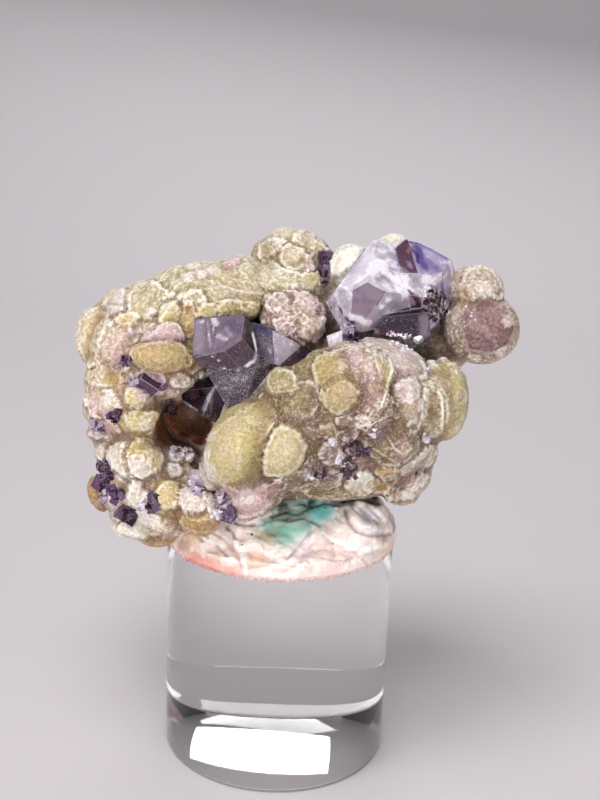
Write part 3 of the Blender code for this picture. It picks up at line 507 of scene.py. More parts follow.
CRUST_STAINS_AND_SHADE = [
    ColourSpot(233, 274, 8, (196, 158, 168), 0.8),
    ColourSpot(228, 283, 6, (200, 164, 168), 0.5),
    ColourSpot(118, 378, 6, (176, 136, 168), 0.8),
    ColourSpot(126, 374, 5, (140, 100, 150), 0.8),
    ColourSpot(104, 426, 6, (196, 156, 168), 0.7),
    ColourSpot(97, 440, 6, (176, 140, 168), 0.7),
    ColourSpot(113, 428, 4, (120, 70, 90), 0.8),
    ColourSpot(146, 404, 12, (200, 168, 196), 0.7),
    ColourSpot(134, 396, 8, (214, 190, 206), 0.6),
    ColourSpot(158, 398, 7, (180, 132, 170), 0.6),
    ColourSpot(113, 516, 8, (196, 160, 164), 0.7),
    ColourSpot(125, 523, 6, (150, 110, 130), 0.6),
    ColourSpot(172, 420, 6, (120, 60, 50), 0.8),
    ColourSpot(164, 419, 5, (90, 40, 40), 0.8),
    ColourSpot(172, 437, 9, (168, 84, 28), 0.8),
    ColourSpot(186, 440, 6, (120, 50, 14), 0.6),
    ColourSpot(172, 472, 5, (246, 238, 230), 0.7),
    # These four spots are painted shade: the dark hole beside the big pale crystal
    ColourSpot(325, 268, 4, (60, 34, 38), 0.9),
    ColourSpot(326, 280, 5, (48, 26, 34), 0.9),
    ColourSpot(324, 292, 5, (70, 40, 36), 0.9),
    ColourSpot(321, 303, 4, (90, 56, 46), 0.8),
    ColourSpot(174, 460, 4, (50, 26, 30), 0.9),
    ColourSpot(379, 450, 7, (122, 92, 116), 0.8),
    ColourSpot(316, 436, 5, (120, 100, 116), 0.6),
    ColourSpot(362, 449, 4, (60, 40, 30), 0.9),
    ColourSpot(375, 468, 8, (96, 62, 40), 0.9),
    ColourSpot(384, 471, 6, (104, 70, 46), 0.8),
    ColourSpot(366, 462, 5, (84, 56, 44), 0.8),
    ColourSpot(309, 482, 8, (130, 96, 84), 0.6),
    ColourSpot(404, 352, 8, (206, 190, 194), 0.5),
    ColourSpot(417, 356, 7, (190, 172, 176), 0.5),
    ColourSpot(330, 356, 6, (110, 66, 48), 0.7),
    ColourSpot(322, 345, 7, (96, 56, 44), 0.8),
    ColourSpot(438, 350, 8, (110, 70, 66), 0.7),
    ColourSpot(446, 366, 8, (120, 84, 74), 0.6),
    ColourSpot(240, 430, 8, (190, 176, 140), 0.4),
    ColourSpot(209, 450, 7, (236, 226, 214), 0.6),
    ColourSpot(205, 466, 8, (240, 230, 222), 0.7),
    ColourSpot(208, 484, 9, (238, 228, 220), 0.7),
    ColourSpot(218, 496, 8, (232, 220, 208), 0.5),
    ColourSpot(408, 402, 8, (214, 204, 200), 0.6),
    ColourSpot(396, 374, 9, (228, 216, 214), 0.5),
    ColourSpot(284, 458, 8, (228, 212, 184), 0.5),
    ColourSpot(220, 428, 6, (170, 156, 140), 0.6),
    ColourSpot(140, 538, 11, (255, 244, 240), 0.7),
    ColourSpot(124, 534, 7, (252, 236, 230), 0.6),
    ColourSpot(158, 545, 8, (244, 216, 190), 0.5),
    ColourSpot(240, 466, 11, (214, 204, 140), 0.4),
    ColourSpot(416, 478, 9, (232, 220, 208), 0.5),
    ColourSpot(112, 486, 6, (196, 156, 176), 0.5),
    ColourSpot(196, 512, 9, (226, 200, 200), 0.5),
]

# A line is a raised (or sunk) streak along places in the front view, its half width and height
# in mm
Line = namedtuple("Line", "places width high colour")

# Their pale colours along the rims of caps and lobes are painted highlight
CRUST_LINES = [
    Line([(216, 433), (207, 446), (203, 460), (204, 474), (208, 486)], 0.26, 0.10, (246, 238, 230)),
    Line([(421, 390), (424, 403), (422, 420), (420, 434), (415, 446)], 0.16, 0.25, (240, 232, 218)),
    Line([(426, 392), (435, 401), (441, 411), (442, 426), (441, 442)], 0.16, 0.25, (240, 234, 200)),
    Line([(388, 372), (392, 384), (387, 396), (385, 408), (381, 420)], 0.16, 0.22, (244, 236, 206)),
    Line([(368, 347), (384, 352), (401, 360), (418, 370), (424, 381), (425, 391)], 0.20, 0.22,
         (246, 240, 236)),
    Line([(362, 455), (372, 462), (384, 469), (398, 478)], 0.14, 0.16, (214, 192, 166)),
    Line([(416, 470), (412, 482), (400, 490), (390, 500), (384, 508)], 0.14, 0.20, (238, 224, 208)),
    Line([(432, 462), (428, 474), (420, 486), (415, 498), (406, 508)], 0.14, 0.20, (246, 236, 224)),
    Line([(262, 318), (272, 326), (280, 322), (290, 332), (300, 326), (312, 336)], 0.14, 0.14,
         (234, 214, 208)),
    Line([(276, 344), (286, 336), (294, 340), (300, 350)], 0.12, 0.12, (232, 212, 206)),
    Line([(296, 312), (292, 322), (300, 334), (310, 342)], 0.12, 0.12, (232, 212, 206)),
    Line([(130, 344), (138, 347), (148, 345)], 0.14, 0.14, (244, 226, 222)),
    Line([(160, 334), (168, 322), (180, 312), (194, 307)], 0.18, 0.22, (240, 230, 190)),
    Line([(194, 319), (210, 318), (226, 314), (244, 316), (258, 316)], 0.14, 0.12, (232, 222, 178)),
    Line([(200, 304), (222, 300), (244, 306), (262, 308), (276, 314)], 0.14, 0.12, (236, 226, 200)),
    Line([(288, 492), (283, 504), (278, 518), (272, 530)], 0.16, 0.18, (226, 204, 196)),
    Line([(388, 452), (394, 462), (402, 468), (412, 462)], 0.12, 0.14, (220, 200, 176)),
    Line([(330, 456), (342, 458), (352, 470), (350, 482)], 0.12, 0.14, (226, 206, 200)),
]

# A crystal is a convex block. Its outline is a polygon in the front view, its corners hold
# (u, v, depth), each face is the flat plane through three of the corners, and back is the
# depth in mm where it ends inside the crust. Faces name the finish of each face.
Crystal = namedtuple("Crystal", "outline corners faces back sides", defaults=("pale_glass",))

# The finish of a crystal face: its colour, and how frosted and how dusty it is
Finish = namedtuple("Finish", "colour frost dust")
FINISHES = {
    "pale_glass": Finish((196, 184, 206), 0.45, 0.1),
    "pale_lavender": Finish((232, 222, 238), 0.45, 0.2),
    "white_frost": Finish((222, 212, 228), 0.60, 0.4),
    # Painted reflection: the darker mauve that the glossy face shows of the grey surroundings
    "mauve_mirror": Finish((162, 140, 160), 0.02, 0.0),
    "grey_frost": Finish((202, 188, 204), 0.45, 0.6),
    "dark_gem": Finish((104, 70, 92), 0.05, 0.1),
    "violet_glass": Finish((176, 162, 204), 0.35, 0.1),
    "deep_violet": Finish((206, 190, 222), 0.45, 0.2),
    "step_grey": Finish((68, 50, 66), 0.1, 0.4),
    # Painted shadow: the black crevice under the big pale crystal, on the lower step's top
    "black_glass": Finish((40, 28, 44), 0.05, 0.0),
    # Painted reflection: the darker greyish lavender that the glossy face shows of its surroundings
    "lavender_mirror": Finish((132, 112, 130), 0.1, 0.2),
    "dark_front": Finish((104, 82, 100), 0.18, 0.5),
    "dusty": Finish((78, 64, 80), 0.25, 1.0),
    "blue_violet": Finish((104, 90, 120), 0.20, 0.8),
    "lavender_grey": Finish((200, 184, 198), 0.35, 0.2),
    "slate": Finish((96, 80, 92), 0.20, 0.4),
    "black_purple": Finish((26, 8, 18), 0.0, 0.1),
    "streak": Finish((84, 66, 84), 0.25, 0.3),
    "purple": Finish((104, 76, 130), 0.15, 0.2),
    # Cube looks come in copies for sides facing up, left and right, lighter or darker by how light falls:
    # painted light and shade
    "plum_top": Finish((84, 54, 78), 0.15, 0.3),
    "plum_left": Finish((110, 80, 112), 0.25, 0.3),
    "plum_right": Finish((40, 14, 38), 0.02, 0.1),
    "lilac_top": Finish((206, 188, 200), 0.55, 0.3),
    "lilac_left": Finish((182, 162, 182), 0.45, 0.3),
    "lilac_right": Finish((112, 84, 116), 0.15, 0.2),
    "frost_top": Finish((250, 244, 246), 0.90, 0.2),
    "frost_left": Finish((232, 224, 230), 0.80, 0.2),
    "frost_right": Finish((196, 184, 194), 0.60, 0.2),
    "smoky_top": Finish((150, 126, 130), 0.2, 0.3),
    "smoky_left": Finish((98, 72, 80), 0.1, 0.3),
    "smoky_right": Finish((56, 32, 40), 0.02, 0.1),
}

BIG_PALE = Crystal(
    outline=[(368, 257), (375, 254), (381, 255), (396, 262), (418, 288), (423, 323), (385, 342),
             (360, 346), (338, 339), (325, 316), (341, 295)],
    corners={
        "a": (352, 304, -6.0), "b": (367, 296, -6.4), "c": (376, 256, 2.0), "d": (383, 305, -6.4),
        "e": (366, 333, -5.4), "f": (350, 331, -5.2), "g": (325, 316, -1.0), "h": (422, 322, -2.6),
        "i": (360, 344, -4.8),
    },
    # Face ade carries a painted reflection of the grey surroundings
    faces={"abc": "pale_lavender", "bdc": "white_frost", "ade": "mauve_mirror", "deh": "grey_frost",
           "afg": "white_frost", "efi": "grey_frost"},
    back=4.5,
)
VIOLET = Crystal(
    outline=[(395, 262), (406, 253), (414, 255), (432, 263), (451, 274), (454, 284), (456, 301),
             (454, 319), (445, 332), (431, 343), (415, 330), (400, 290)],
    corners={
        "a": (396, 262, 1.0), "b": (407, 254, 3.0), "c": (417, 287, -2.6), "d": (451, 274, 3.6),
        "e": (456, 301, 4.2), "f": (437, 292, -1.6), "g": (430, 340, -1.0),
    },
    faces={"abc": "dark_gem", "bcd": "violet_glass", "def": "deep_violet", "cfg": "grey_frost",
           "efg": "deep_violet"},
    back=7.5,
    sides="violet_glass",
)
LOWER_STEP = Crystal(
    outline=[(385, 329), (421, 320), (429, 325), (430, 356), (411, 353), (374, 348), (374, 341)],
    corners={
        "a": (385, 331, -5.6), "b": (428, 326, -4.2), "c": (429, 355, -3.6), "d": (421, 320, -2.0),
    },
    # The top face abd is painted black as the shadow in the crevice under the big pale crystal
    faces={"abc": "step_grey", "abd": "black_glass"},
    back=4,
    sides="step_grey",
)
BLUE_CUBE = Crystal(
    outline=[(194, 333), (237, 329), (242, 329), (252, 338), (257, 371), (249, 380), (213, 385),
             (198, 379), (192, 369)],
    corners={
        "a": (193, 369, -10.4), "b": (222, 363, -11.2), "c": (241, 350, -10.6), "d": (194, 333, -7.0),
        "f": (213, 384, -8.6), "g": (249, 380, -8.4), "h": (252, 338, -7.6), "i": (257, 371, -8.4),
    },
    # Face acd carries a painted reflection of the surroundings
    faces={"acd": "lavender_mirror", "abf": "dark_front", "bcg": "dark_front", "chi": "black_purple"},
    back=-1,
    sides="dark_front",
)
DUSTY_BLOCK = Crystal(
    outline=[(205, 384), (250, 369), (276, 371), (284, 380), (266, 401), (240, 424), (228, 427),
             (212, 396)],
    corners={
        "a": (213, 384, -7.8), "b": (258, 373, -7.6), "c": (232, 425, -7.8), "d": (252, 412, -7.0),
        "e": (280, 381, -4.6),
    },
    faces={"abc": "dusty", "bde": "dusty"},
    back=0,
    sides="dusty",
)
LAVENDER_BLOCK = Crystal(
    outline=[(252, 336), (272, 342), (299, 358), (320, 369), (313, 378), (281, 380), (257, 374)],
    corners={
        "a": (272, 343, -5.4), "b": (274, 371, -6.9), "c": (299, 361, -4.4), "d": (291, 379, -5.8),
        "e": (253, 342, -3.6), "f": (319, 370, -2.6),
    },
    faces={"abc": "lavender_grey", "abe": "blue_violet", "cdf": "slate"},
    back=0,
    sides="slate",
)
DARK_WEDGE = Crystal(
    outline=[(180, 403), (212, 389), (223, 400), (225, 420), (220, 438), (203, 431), (182, 417)],
    corners={
        "a": (181, 405, -5.6), "b": (214, 401, -7.8), "c": (203, 427, -8.2), "d": (220, 437, -6.6),
        "e": (212, 390, -5.8),
    },
    faces={"abc": "black_purple", "bcd": "streak", "abe": "black_purple"},
    back=-2,
    sides="black_purple",
)
TOP_SLAB = Crystal(
    outline=[(326, 350), (341, 344), (357, 349), (358, 357), (347, 362), (329, 364)],
    corners={
        "a": (326, 351, -6.6), "b": (341, 346, -7.4), "c": (329, 364, -7.2), "d": (358, 350, -6.0),
        "e": (342, 361, -7.8),
    },
    faces={"abc": "pale_lavender", "bde": "lavender_grey"},
    back=-3,
    sides="purple",
)
TOP_CHIP = Crystal(
    outline=[(339, 340), (346, 337), (353, 339), (353, 347), (341, 347)],
    corners={"a": (340, 340, -6.2), "b": (353, 340, -6.4), "c": (346, 347, -7.0)},
    faces={"abc": "purple"},
    back=-3,
    sides="purple",
)

# A cube stands turned in the crust: half edges in mm and Euler angles in degrees. Its look
# names the finishes of its sides that face up, left and right: lighter and darker copies of one
# colour, painted light and shade.
Cube = namedtuple("Cube", "u v depth edges turn look", defaults=("plum",))

# Each group grew together: the CAD node that it stands for, and its crystals
CRYSTAL_GROUPS = {
    "upper_purple_crystals": [BIG_PALE, VIOLET, LOWER_STEP, TOP_SLAB, TOP_CHIP],
    "middle_purple_crystals": [BLUE_CUBE, DUSTY_BLOCK, LAVENDER_BLOCK, DARK_WEDGE],
    "small_crystal_left": [Cube(147, 396, -8.4, (1.35, 1.3, 1.35), (38, 35, 12))],
    "small_crystal_left_high": [Cube(126, 375, -5.0, (0.7, 0.7, 0.7), (25, 30, 30))],
    "small_crystal_far_left": [Cube(114, 431, -6.6, (0.8, 0.8, 0.8), (30, 20, 35))],
    "small_crystal_left_edge": [Cube(98, 440, -5.6, (0.8, 0.7, 0.7), (15, 40, 10), "lilac")],
    "small_crystal_low_edge": [Cube(104, 479, -5.4, (0.8, 0.7, 0.8), (20, 30, 25))],
    "small_crystals_low_left": [
        Cube(111, 493, -6.8, (0.8, 0.9, 0.8), (35, 20, 40)),
        Cube(102, 498, -6.2, (0.9, 0.9, 0.9), (10, 25, 50)),
        Cube(113, 504, -7.0, (1.1, 1.0, 1.1), (30, 35, 20)),
    ],
    "small_crystals_foot": [
        Cube(124, 525, -8.0, (1.0, 0.9, 0.9), (30, 30, 10)),
        Cube(131, 531, -8.4, (0.8, 0.8, 0.8), (20, 40, 35)),
    ],
    "small_crystals_low_middle": [
        Cube(154, 516, -9.6, (1.0, 0.9, 0.9), (25, 30, 40)),
        Cube(143, 518, -9.4, (0.7, 0.7, 0.7), (40, 15, 20)),
    ],
    "small_crystals_under_pocket": [
        Cube(198, 495, -10.2, (1.2, 1.0, 0.9), (30, 15, 20), "lilac"),
        Cube(199, 506, -10.8, (1.0, 0.9, 0.8), (20, 35, 45), "lilac"),
    ],
    "small_crystals_low_right": [
        Cube(225, 522, -12.4, (1.2, 1.1, 1.4), (8, 22, 20), "lilac"),
        Cube(223, 511, -11.8, (0.8, 0.8, 0.9), (30, 20, 40), "lilac"),
    ],
}
# A patch colours a crystal along a path: its radius in pixels, colour, strength, how frosted it
# is, and how many mm it stands out
Patch = namedtuple("Patch", "places radius colour share frost high", defaults=(0.0,))
WHITE_FROST = (244, 238, 244)
VIVID_VIOLET = (96, 78, 152)

CRYSTAL_PATCHES = {
    "upper_purple_crystals": [
        Patch([(352, 282), (360, 272), (366, 264)], 5, (200, 188, 214), 0.6, 0.4),
        Patch([(371, 258), (375, 260)], 3, (160, 142, 178), 0.6, 0.2),
        Patch([(384, 284), (398, 292), (404, 300)], 9, WHITE_FROST, 0.9, 1.0, 0.05),
        Patch([(370, 284), (382, 277), (392, 278)], 6, WHITE_FROST, 0.8, 1.0, 0.04),
        Patch([(377, 294), (383, 291), (388, 294)], 3, (186, 168, 188), 0.9, 0.3, -0.08),
        Patch([(354, 298), (366, 289)], 3.5, WHITE_FROST, 0.8, 1.0, 0.05),
        Patch([(396, 268), (410, 281)], 2.5, (170, 160, 186), 0.7, 0.3),
        Patch([(332, 316), (337, 326), (340, 334)], 5, (182, 162, 176), 0.6, 0.7),
        Patch([(339, 300), (346, 303), (351, 309)], 1.6, WHITE_FROST, 0.9, 0.9, 0.08),
        Patch([(339, 323), (341, 327)], 2.2, (66, 48, 62), 0.9, 0.1, -0.15),
        Patch([(330, 322)], 1.8, (84, 66, 78), 0.9, 0.1, -0.1),
        Patch([(345, 333), (352, 337)], 2.2, (70, 50, 60), 0.9, 0.1, -0.15),
        Patch([(350, 331), (360, 333), (369, 337)], 3.5, (228, 216, 226), 0.9, 1.0, 0.06),
        Patch([(392, 318), (403, 318)], 7, (146, 132, 146), 0.6, 0.3),
        Patch([(388, 313)], 3.5, WHITE_FROST, 0.9, 1.0, 0.12),
        Patch([(381, 321)], 3, WHITE_FROST, 0.9, 1.0, 0.12),
        Patch([(399, 303), (404, 307)], 4.5, WHITE_FROST, 1.0, 1.0, 0.15),
        # Painted shadow: this black line is the crevice between the big pale crystal and the lower step
        Patch([(390, 329), (405, 324), (414, 321), (422, 323)], 1.8, (34, 22, 36), 1.0, 0.0, -0.12),
        Patch([(376, 319), (384, 305)], 1.2, (88, 72, 86), 0.8, 0.1, -0.05),
        Patch([(419, 304), (425, 312)], 3, (206, 194, 206), 0.8, 0.9),
        Patch([(395, 264), (407, 256), (420, 258)], 1.3, (58, 34, 52), 0.9, 0.0, 0.05),
        Patch([(404, 266), (411, 264)], 5.5, (92, 58, 80), 0.8, 0.05),
        Patch([(407, 266), (410, 262)], 2.4, (150, 112, 128), 0.8, 0.2),
        Patch([(420, 259), (432, 265), (445, 272)], 3.0, (136, 116, 186), 0.8, 0.2),
        Patch([(417, 262), (420, 272), (424, 281)], 5.5, VIVID_VIOLET, 0.9, 0.05),
        Patch([(416, 268), (417, 276)], 2.2, (66, 46, 124), 0.9, 0.0),
        Patch([(428, 276), (436, 284)], 5.5, (140, 122, 186), 0.75, 0.15),
        Patch([(430, 268), (440, 276), (447, 287)], 6.5, (186, 174, 212), 0.7, 0.5),
        Patch([(450, 279), (452, 292), (453, 305)], 5.0, (232, 222, 238), 0.9, 0.9),
        Patch([(424, 293), (434, 295), (440, 291)], 4.5, (228, 218, 230), 0.85, 1.0, 0.05),
        Patch([(441, 299), (442, 309)], 4, (118, 98, 166), 0.95, 0.1),
        Patch([(430, 306), (434, 318), (440, 328)], 8, (88, 70, 86), 0.85, 0.5),
        Patch([(449, 312), (450, 328)], 5.0, (222, 208, 220), 0.85, 0.9),
        Patch([(380, 340), (396, 338), (414, 338)], 5.5, (52, 40, 58), 0.9, 0.05),
        Patch([(382, 348), (394, 348), (405, 351)], 2.4, (104, 32, 54), 1.0, 0.0),
        Patch([(424, 332), (424, 347)], 5, (150, 134, 152), 0.9, 0.2),
        Patch([(404, 354), (420, 354)], 3, (200, 188, 178), 0.9, 1.0, 0.08),
        Patch([(376, 346)], 3, (160, 140, 152), 0.8, 0.6),
        Patch([(343, 350), (350, 352), (354, 356)], 3, (60, 42, 106), 0.95, 0.0),
        Patch([(409, 305), (413, 311)], 2.2, (84, 16, 38), 1.0, 0.0, -0.1),
        Patch([(413, 311), (418, 318)], 4.4, (78, 12, 34), 1.0, 0.0, -0.1),
        Patch([(413, 318), (419, 321)], 2.6, (70, 10, 30), 1.0, 0.0, -0.1),
        Patch([(407, 304), (411, 312), (414, 319)], 1.2, (176, 156, 168), 0.8, 0.4),
        Patch([(329, 353), (338, 348)], 1.4, WHITE_FROST, 0.9, 0.8),
        Patch([(341, 346), (341, 360)], 1.2, (228, 218, 230), 0.8, 0.8),
    ],
    "middle_purple_crystals": [
        Patch([(198, 338), (198, 362)], 6, (166, 150, 166), 0.7, 0.3),
        Patch([(214, 356), (226, 346)], 6, (146, 130, 148), 0.6, 0.3),
        Patch([(206, 348), (212, 354)], 3, (112, 92, 108), 0.6, 0.1),
        Patch([(207, 335), (210, 360)], 1.3, (186, 172, 188), 0.7, 0.5),
        Patch([(213, 332), (216, 338)], 2.4, (226, 218, 226), 0.8, 0.6, -0.1),
        Patch([(214, 342), (214, 348)], 1.2, (76, 60, 80), 0.9, 0.0, -0.08),
        Patch([(218, 350), (225, 353)], 2.4, (214, 202, 210), 0.8, 0.5, 0.06),
        Patch([(232, 337), (241, 343)], 7, (108, 92, 120), 0.8, 0.15),
        Patch([(226, 343), (230, 349)], 2.5, (166, 150, 168), 0.7, 0.6),
        Patch([(195, 371), (224, 364), (234, 358), (241, 351)], 0.9, (206, 194, 204), 0.8, 0.6),
        Patch([(215, 375), (235, 367)], 7, (98, 70, 88), 0.6, 0.1),
        Patch([(200, 377)], 4, (142, 124, 136), 0.7, 0.4),
        Patch([(252, 348), (255, 361), (254, 374), (247, 379)], 2.2, (240, 232, 232), 1.0, 0.9, 0.12),
        Patch([(212, 370)], 1.5, WHITE_FROST, 1.0, 1.0, 0.1),
        Patch([(218, 374)], 1.5, WHITE_FROST, 1.0, 1.0, 0.1),
        Patch([(224, 382)], 1.6, WHITE_FROST, 1.0, 1.0, 0.1),
        Patch([(238, 384)], 1.4, WHITE_FROST, 1.0, 1.0, 0.1),
        Patch([(257, 340), (262, 344)], 4, (78, 64, 112), 0.9, 0.1),
        Patch([(262, 355), (267, 367)], 8, (124, 110, 126), 0.8, 0.6),
        Patch([(274, 354), (278, 377)], 1.8, (206, 192, 202), 0.8, 0.7),
        Patch([(290, 358), (298, 365)], 1.8, (204, 188, 196), 0.7, 0.6),
        Patch([(300, 368), (308, 373)], 4.5, (76, 62, 70), 0.8, 0.1),
        Patch([(297, 361), (308, 362), (318, 369)], 1.0, (196, 182, 190), 0.8, 0.6, 0.05),
        Patch([(225, 400), (241, 396)], 9, (96, 82, 94), 0.7, 0.5),
        Patch([(255, 385), (266, 384)], 6, (88, 74, 94), 0.6, 0.6),
        Patch([(233, 420), (248, 412), (259, 403)], 4, (130, 114, 144), 0.8, 0.3),
        Patch([(190, 408), (201, 400)], 8, (24, 6, 18), 0.9, 0.0),
        Patch([(188, 404), (197, 412)], 4, (58, 18, 44), 0.8, 0.0),
        Patch([(196, 397), (207, 391)], 4, (74, 44, 92), 0.8, 0.0),
        Patch([(203, 424), (216, 430), (222, 424)], 4, (78, 44, 66), 0.7, 0.1),
        Patch([(214, 402), (208, 412), (204, 423)], 2.8, (142, 140, 150), 0.95, 0.6, 0.06),
        Patch([(183, 415), (196, 424), (214, 433)], 1.0, (160, 144, 150), 0.9, 0.5, 0.05),
        Patch([(214, 420), (222, 430)], 5, (62, 46, 68), 0.8, 0.1),
    ],
}

# Druse: small cubes strewn round a place, over a radius in pixels, with half edges in mm
Druse = namedtuple("Druse", "u v radius count size look")
DRUSE_SEED = 5
DRUSES = [
    Druse(434, 314, 11, 70, 0.25, "smoky"), Druse(437, 328, 10, 50, 0.24, "smoky"),
    Druse(440, 326, 10, 26, 0.20, "frost"), Druse(446, 322, 5, 12, 0.20, "frost"),
    Druse(428, 306, 7, 14, 0.26, "frost"), Druse(405, 357, 10, 40, 0.24, "frost"),
    Druse(392, 352, 7, 20, 0.20, "frost"), Druse(418, 360, 7, 16, 0.42, "frost"),
    Druse(354, 463, 10, 34, 0.30, "smoky"), Druse(351, 481, 11, 36, 0.32, "smoky"),
    Druse(342, 474, 5, 12, 0.30, "frost"), Druse(333, 456, 4, 10, 0.26, "frost"),
    Druse(373, 446, 4, 9, 0.24, "frost"), Druse(308, 491, 5, 10, 0.30, "frost"),
    Druse(366, 466, 6, 12, 0.34, "plum"), Druse(318, 486, 6, 10, 0.34, "smoky"),
    Druse(133, 396, 5, 8, 0.42, "lilac"), Druse(162, 400, 5, 7, 0.34, "lilac"),
    # The two plum druses that start this row are dark cubes set in the same hole, as painted shade
    Druse(324, 274, 4, 8, 0.80, "plum"), Druse(325, 286, 4, 8, 0.80, "plum"),
    Druse(126, 374, 6, 10, 0.36, "plum"), Druse(114, 430, 6, 14, 0.40, "plum"),
    Druse(98, 440, 7, 14, 0.44, "lilac"), Druse(103, 479, 6, 16, 0.42, "plum"),
    Druse(106, 494, 8, 18, 0.50, "plum"), Druse(116, 507, 7, 14, 0.50, "plum"),
    Druse(106, 512, 6, 10, 0.36, "lilac"), Druse(127, 526, 7, 16, 0.46, "plum"),
    Druse(139, 518, 6, 10, 0.36, "frost"), Druse(152, 516, 7, 16, 0.46, "plum"),
    Druse(196, 500, 9, 14, 0.50, "lilac"), Druse(222, 514, 9, 14, 0.50, "lilac"),
    Druse(228, 528, 6, 10, 0.42, "lilac"), Druse(214, 528, 6, 8, 0.36, "frost"),
    Druse(170, 421, 7, 16, 0.36, "smoky"), Druse(176, 466, 6, 12, 0.34, "frost"),
    Druse(186, 468, 6, 12, 0.32, "frost"), Druse(347, 342, 5, 10, 0.34, "lilac"),
    Druse(352, 352, 5, 8, 0.30, "plum"), Druse(322, 296, 5, 10, 0.34, "smoky"),
    Druse(430, 382, 4, 8, 0.28, "frost"), Druse(426, 451, 5, 8, 0.28, "frost"),
    Druse(290, 350, 10, 10, 0.14, "frost"), Druse(306, 322, 10, 10, 0.14, "frost"),
    Druse(466, 330, 12, 12, 0.13, "frost"), Druse(160, 326, 16, 14, 0.14, "frost"),
]

# The putty: its disc, the lumps pressed up round the crust (centre, half sizes in mm), and its
# folds, creases and colour marks. The pale colours on the raised folds are painted highlight and
# the darker colours in the sunk creases painted shade; the black line and spots along the top
# edge at the right are the painted shadow of the gap under the crust. The teal, the pink and
# the small dark specks are the putty's own colour.
PUTTY_RADIUS = 15.3 * MM
PUTTY_RIM = 1.7 * MM
PUTTY_LIP = 0.75 * MM
PUTTY_LUMPS = [
    ((0, 0.5, 32.0), (12.6, 11.8, 6.0)),
    ((8.6, -8.0, 32.4), (4.4, 3.4, 3.4)),
    ((-8.4, -8.0, 31.8), (4.4, 4.0, 3.2)),
    ((-1.0, -11.0, 31.6), (5.0, 2.8, 2.2)),
    ((3.0, -8.6, 32.8), (4.2, 3.0, 3.0)),
    ((4.0, -6.8, 34.6), (4.8, 3.2, 3.3)),
    ((10.4, -5.4, 34.4), (3.0, 3.2, 3.2)),
    ((-3.6, -8.6, 33.8), (3.4, 3.0, 2.8)),
    ((11.2, -2.0, 32.4), (3.0, 5.0, 3.4)),
    ((-11.2, 0.0, 32.0), (3.0, 5.0, 3.0)),
    ((6.5, 8.8, 32.4), (4.8, 4.0, 4.0)),
    ((-5.5, 9.0, 32.4), (5.0, 3.8, 4.0)),
]
PUTTY_LINES = [
    Line([(236, 556), (241, 566), (245, 578), (246, 586)], 0.50, 0.60, (250, 236, 228)),
    Line([(231, 558), (236, 568), (240, 580)], 0.25, -0.15, (226, 196, 182)),
    Line([(310, 546), (302, 556), (294, 566), (287, 574)], 0.20, -0.26, (204, 180, 196)),
    Line([(314, 549), (306, 560), (298, 570), (291, 577)], 0.30, 0.25, (252, 240, 240)),
    Line([(345, 524), (348, 536), (356, 545), (370, 550), (384, 549)], 0.22, -0.40, (176, 152, 150)),
    Line([(350, 519), (354, 532), (362, 540), (374, 544), (386, 542)], 0.70, 0.60, (248, 238, 230)),
    Line([(358, 516), (368, 520), (378, 526), (384, 534)], 0.40, 0.30, (242, 236, 234)),
    Line([(360, 523), (368, 530), (376, 537)], 0.16, -0.20, (150, 158, 176)),
    Line([(364, 520), (372, 526), (379, 533)], 0.14, -0.15, (120, 130, 150)),
    Line([(336, 554), (350, 562), (368, 563), (384, 558)], 0.50, 0.35, (250, 238, 232)),
    Line([(262, 566), (282, 574), (304, 576), (326, 572)], 0.45, 0.30, (250, 234, 228)),
    Line([(248, 568), (264, 573), (284, 579), (306, 582)], 0.18, -0.12, (232, 206, 196)),
    Line([(330, 574), (346, 575), (362, 570), (378, 564)], 0.18, -0.12, (234, 210, 202)),
    Line([(212, 546), (224, 554), (232, 564)], 0.20, -0.18, (214, 186, 174)),
    Line([(258, 552), (264, 562), (262, 574)], 0.16, -0.14, (226, 204, 196)),
    Line([(322, 548), (330, 558), (334, 570)], 0.16, -0.14, (224, 204, 204)),
    Line([(352, 566), (362, 573), (368, 580)], 0.16, -0.14, (226, 202, 194)),
    Line([(196, 572), (208, 578), (222, 584)], 0.35, 0.25, (226, 164, 150)),
    Line([(198, 540), (201, 545), (197, 550), (202, 556)], 0.15, -0.15, (56, 40, 36)),
    Line([(203, 547), (207, 552)], 0.14, -0.10, (64, 46, 42)),
    Line([(225, 541), (231, 546), (234, 551)], 0.13, -0.10, (64, 50, 46)),
    Line([(216, 560), (221, 565), (227, 571)], 0.13, -0.10, (84, 62, 58)),
    Line([(234, 537), (244, 540), (254, 539)], 0.20, -0.20, (44, 38, 38)),
    Line([(246, 548), (258, 550), (266, 554)], 0.12, -0.10, (150, 120, 96)),
    Line([(272, 529), (284, 524), (296, 527), (306, 521)], 0.30, -0.55, (30, 60, 54)),
    Line([(300, 516), (312, 519), (326, 515), (338, 518)], 0.30, -0.55, (26, 44, 42)),
    Line([(288, 536), (300, 533), (312, 535), (320, 540)], 0.16, -0.25, (60, 104, 100)),
    Line([(262, 541), (276, 536), (292, 538), (304, 534)], 0.30, 0.35, (150, 208, 198)),
    # Painted shadow: the black gap under the crust along the putty's top edge
    Line([(344, 514), (356, 511), (368, 513), (380, 516)], 0.35, -0.50, (24, 20, 22)),
]
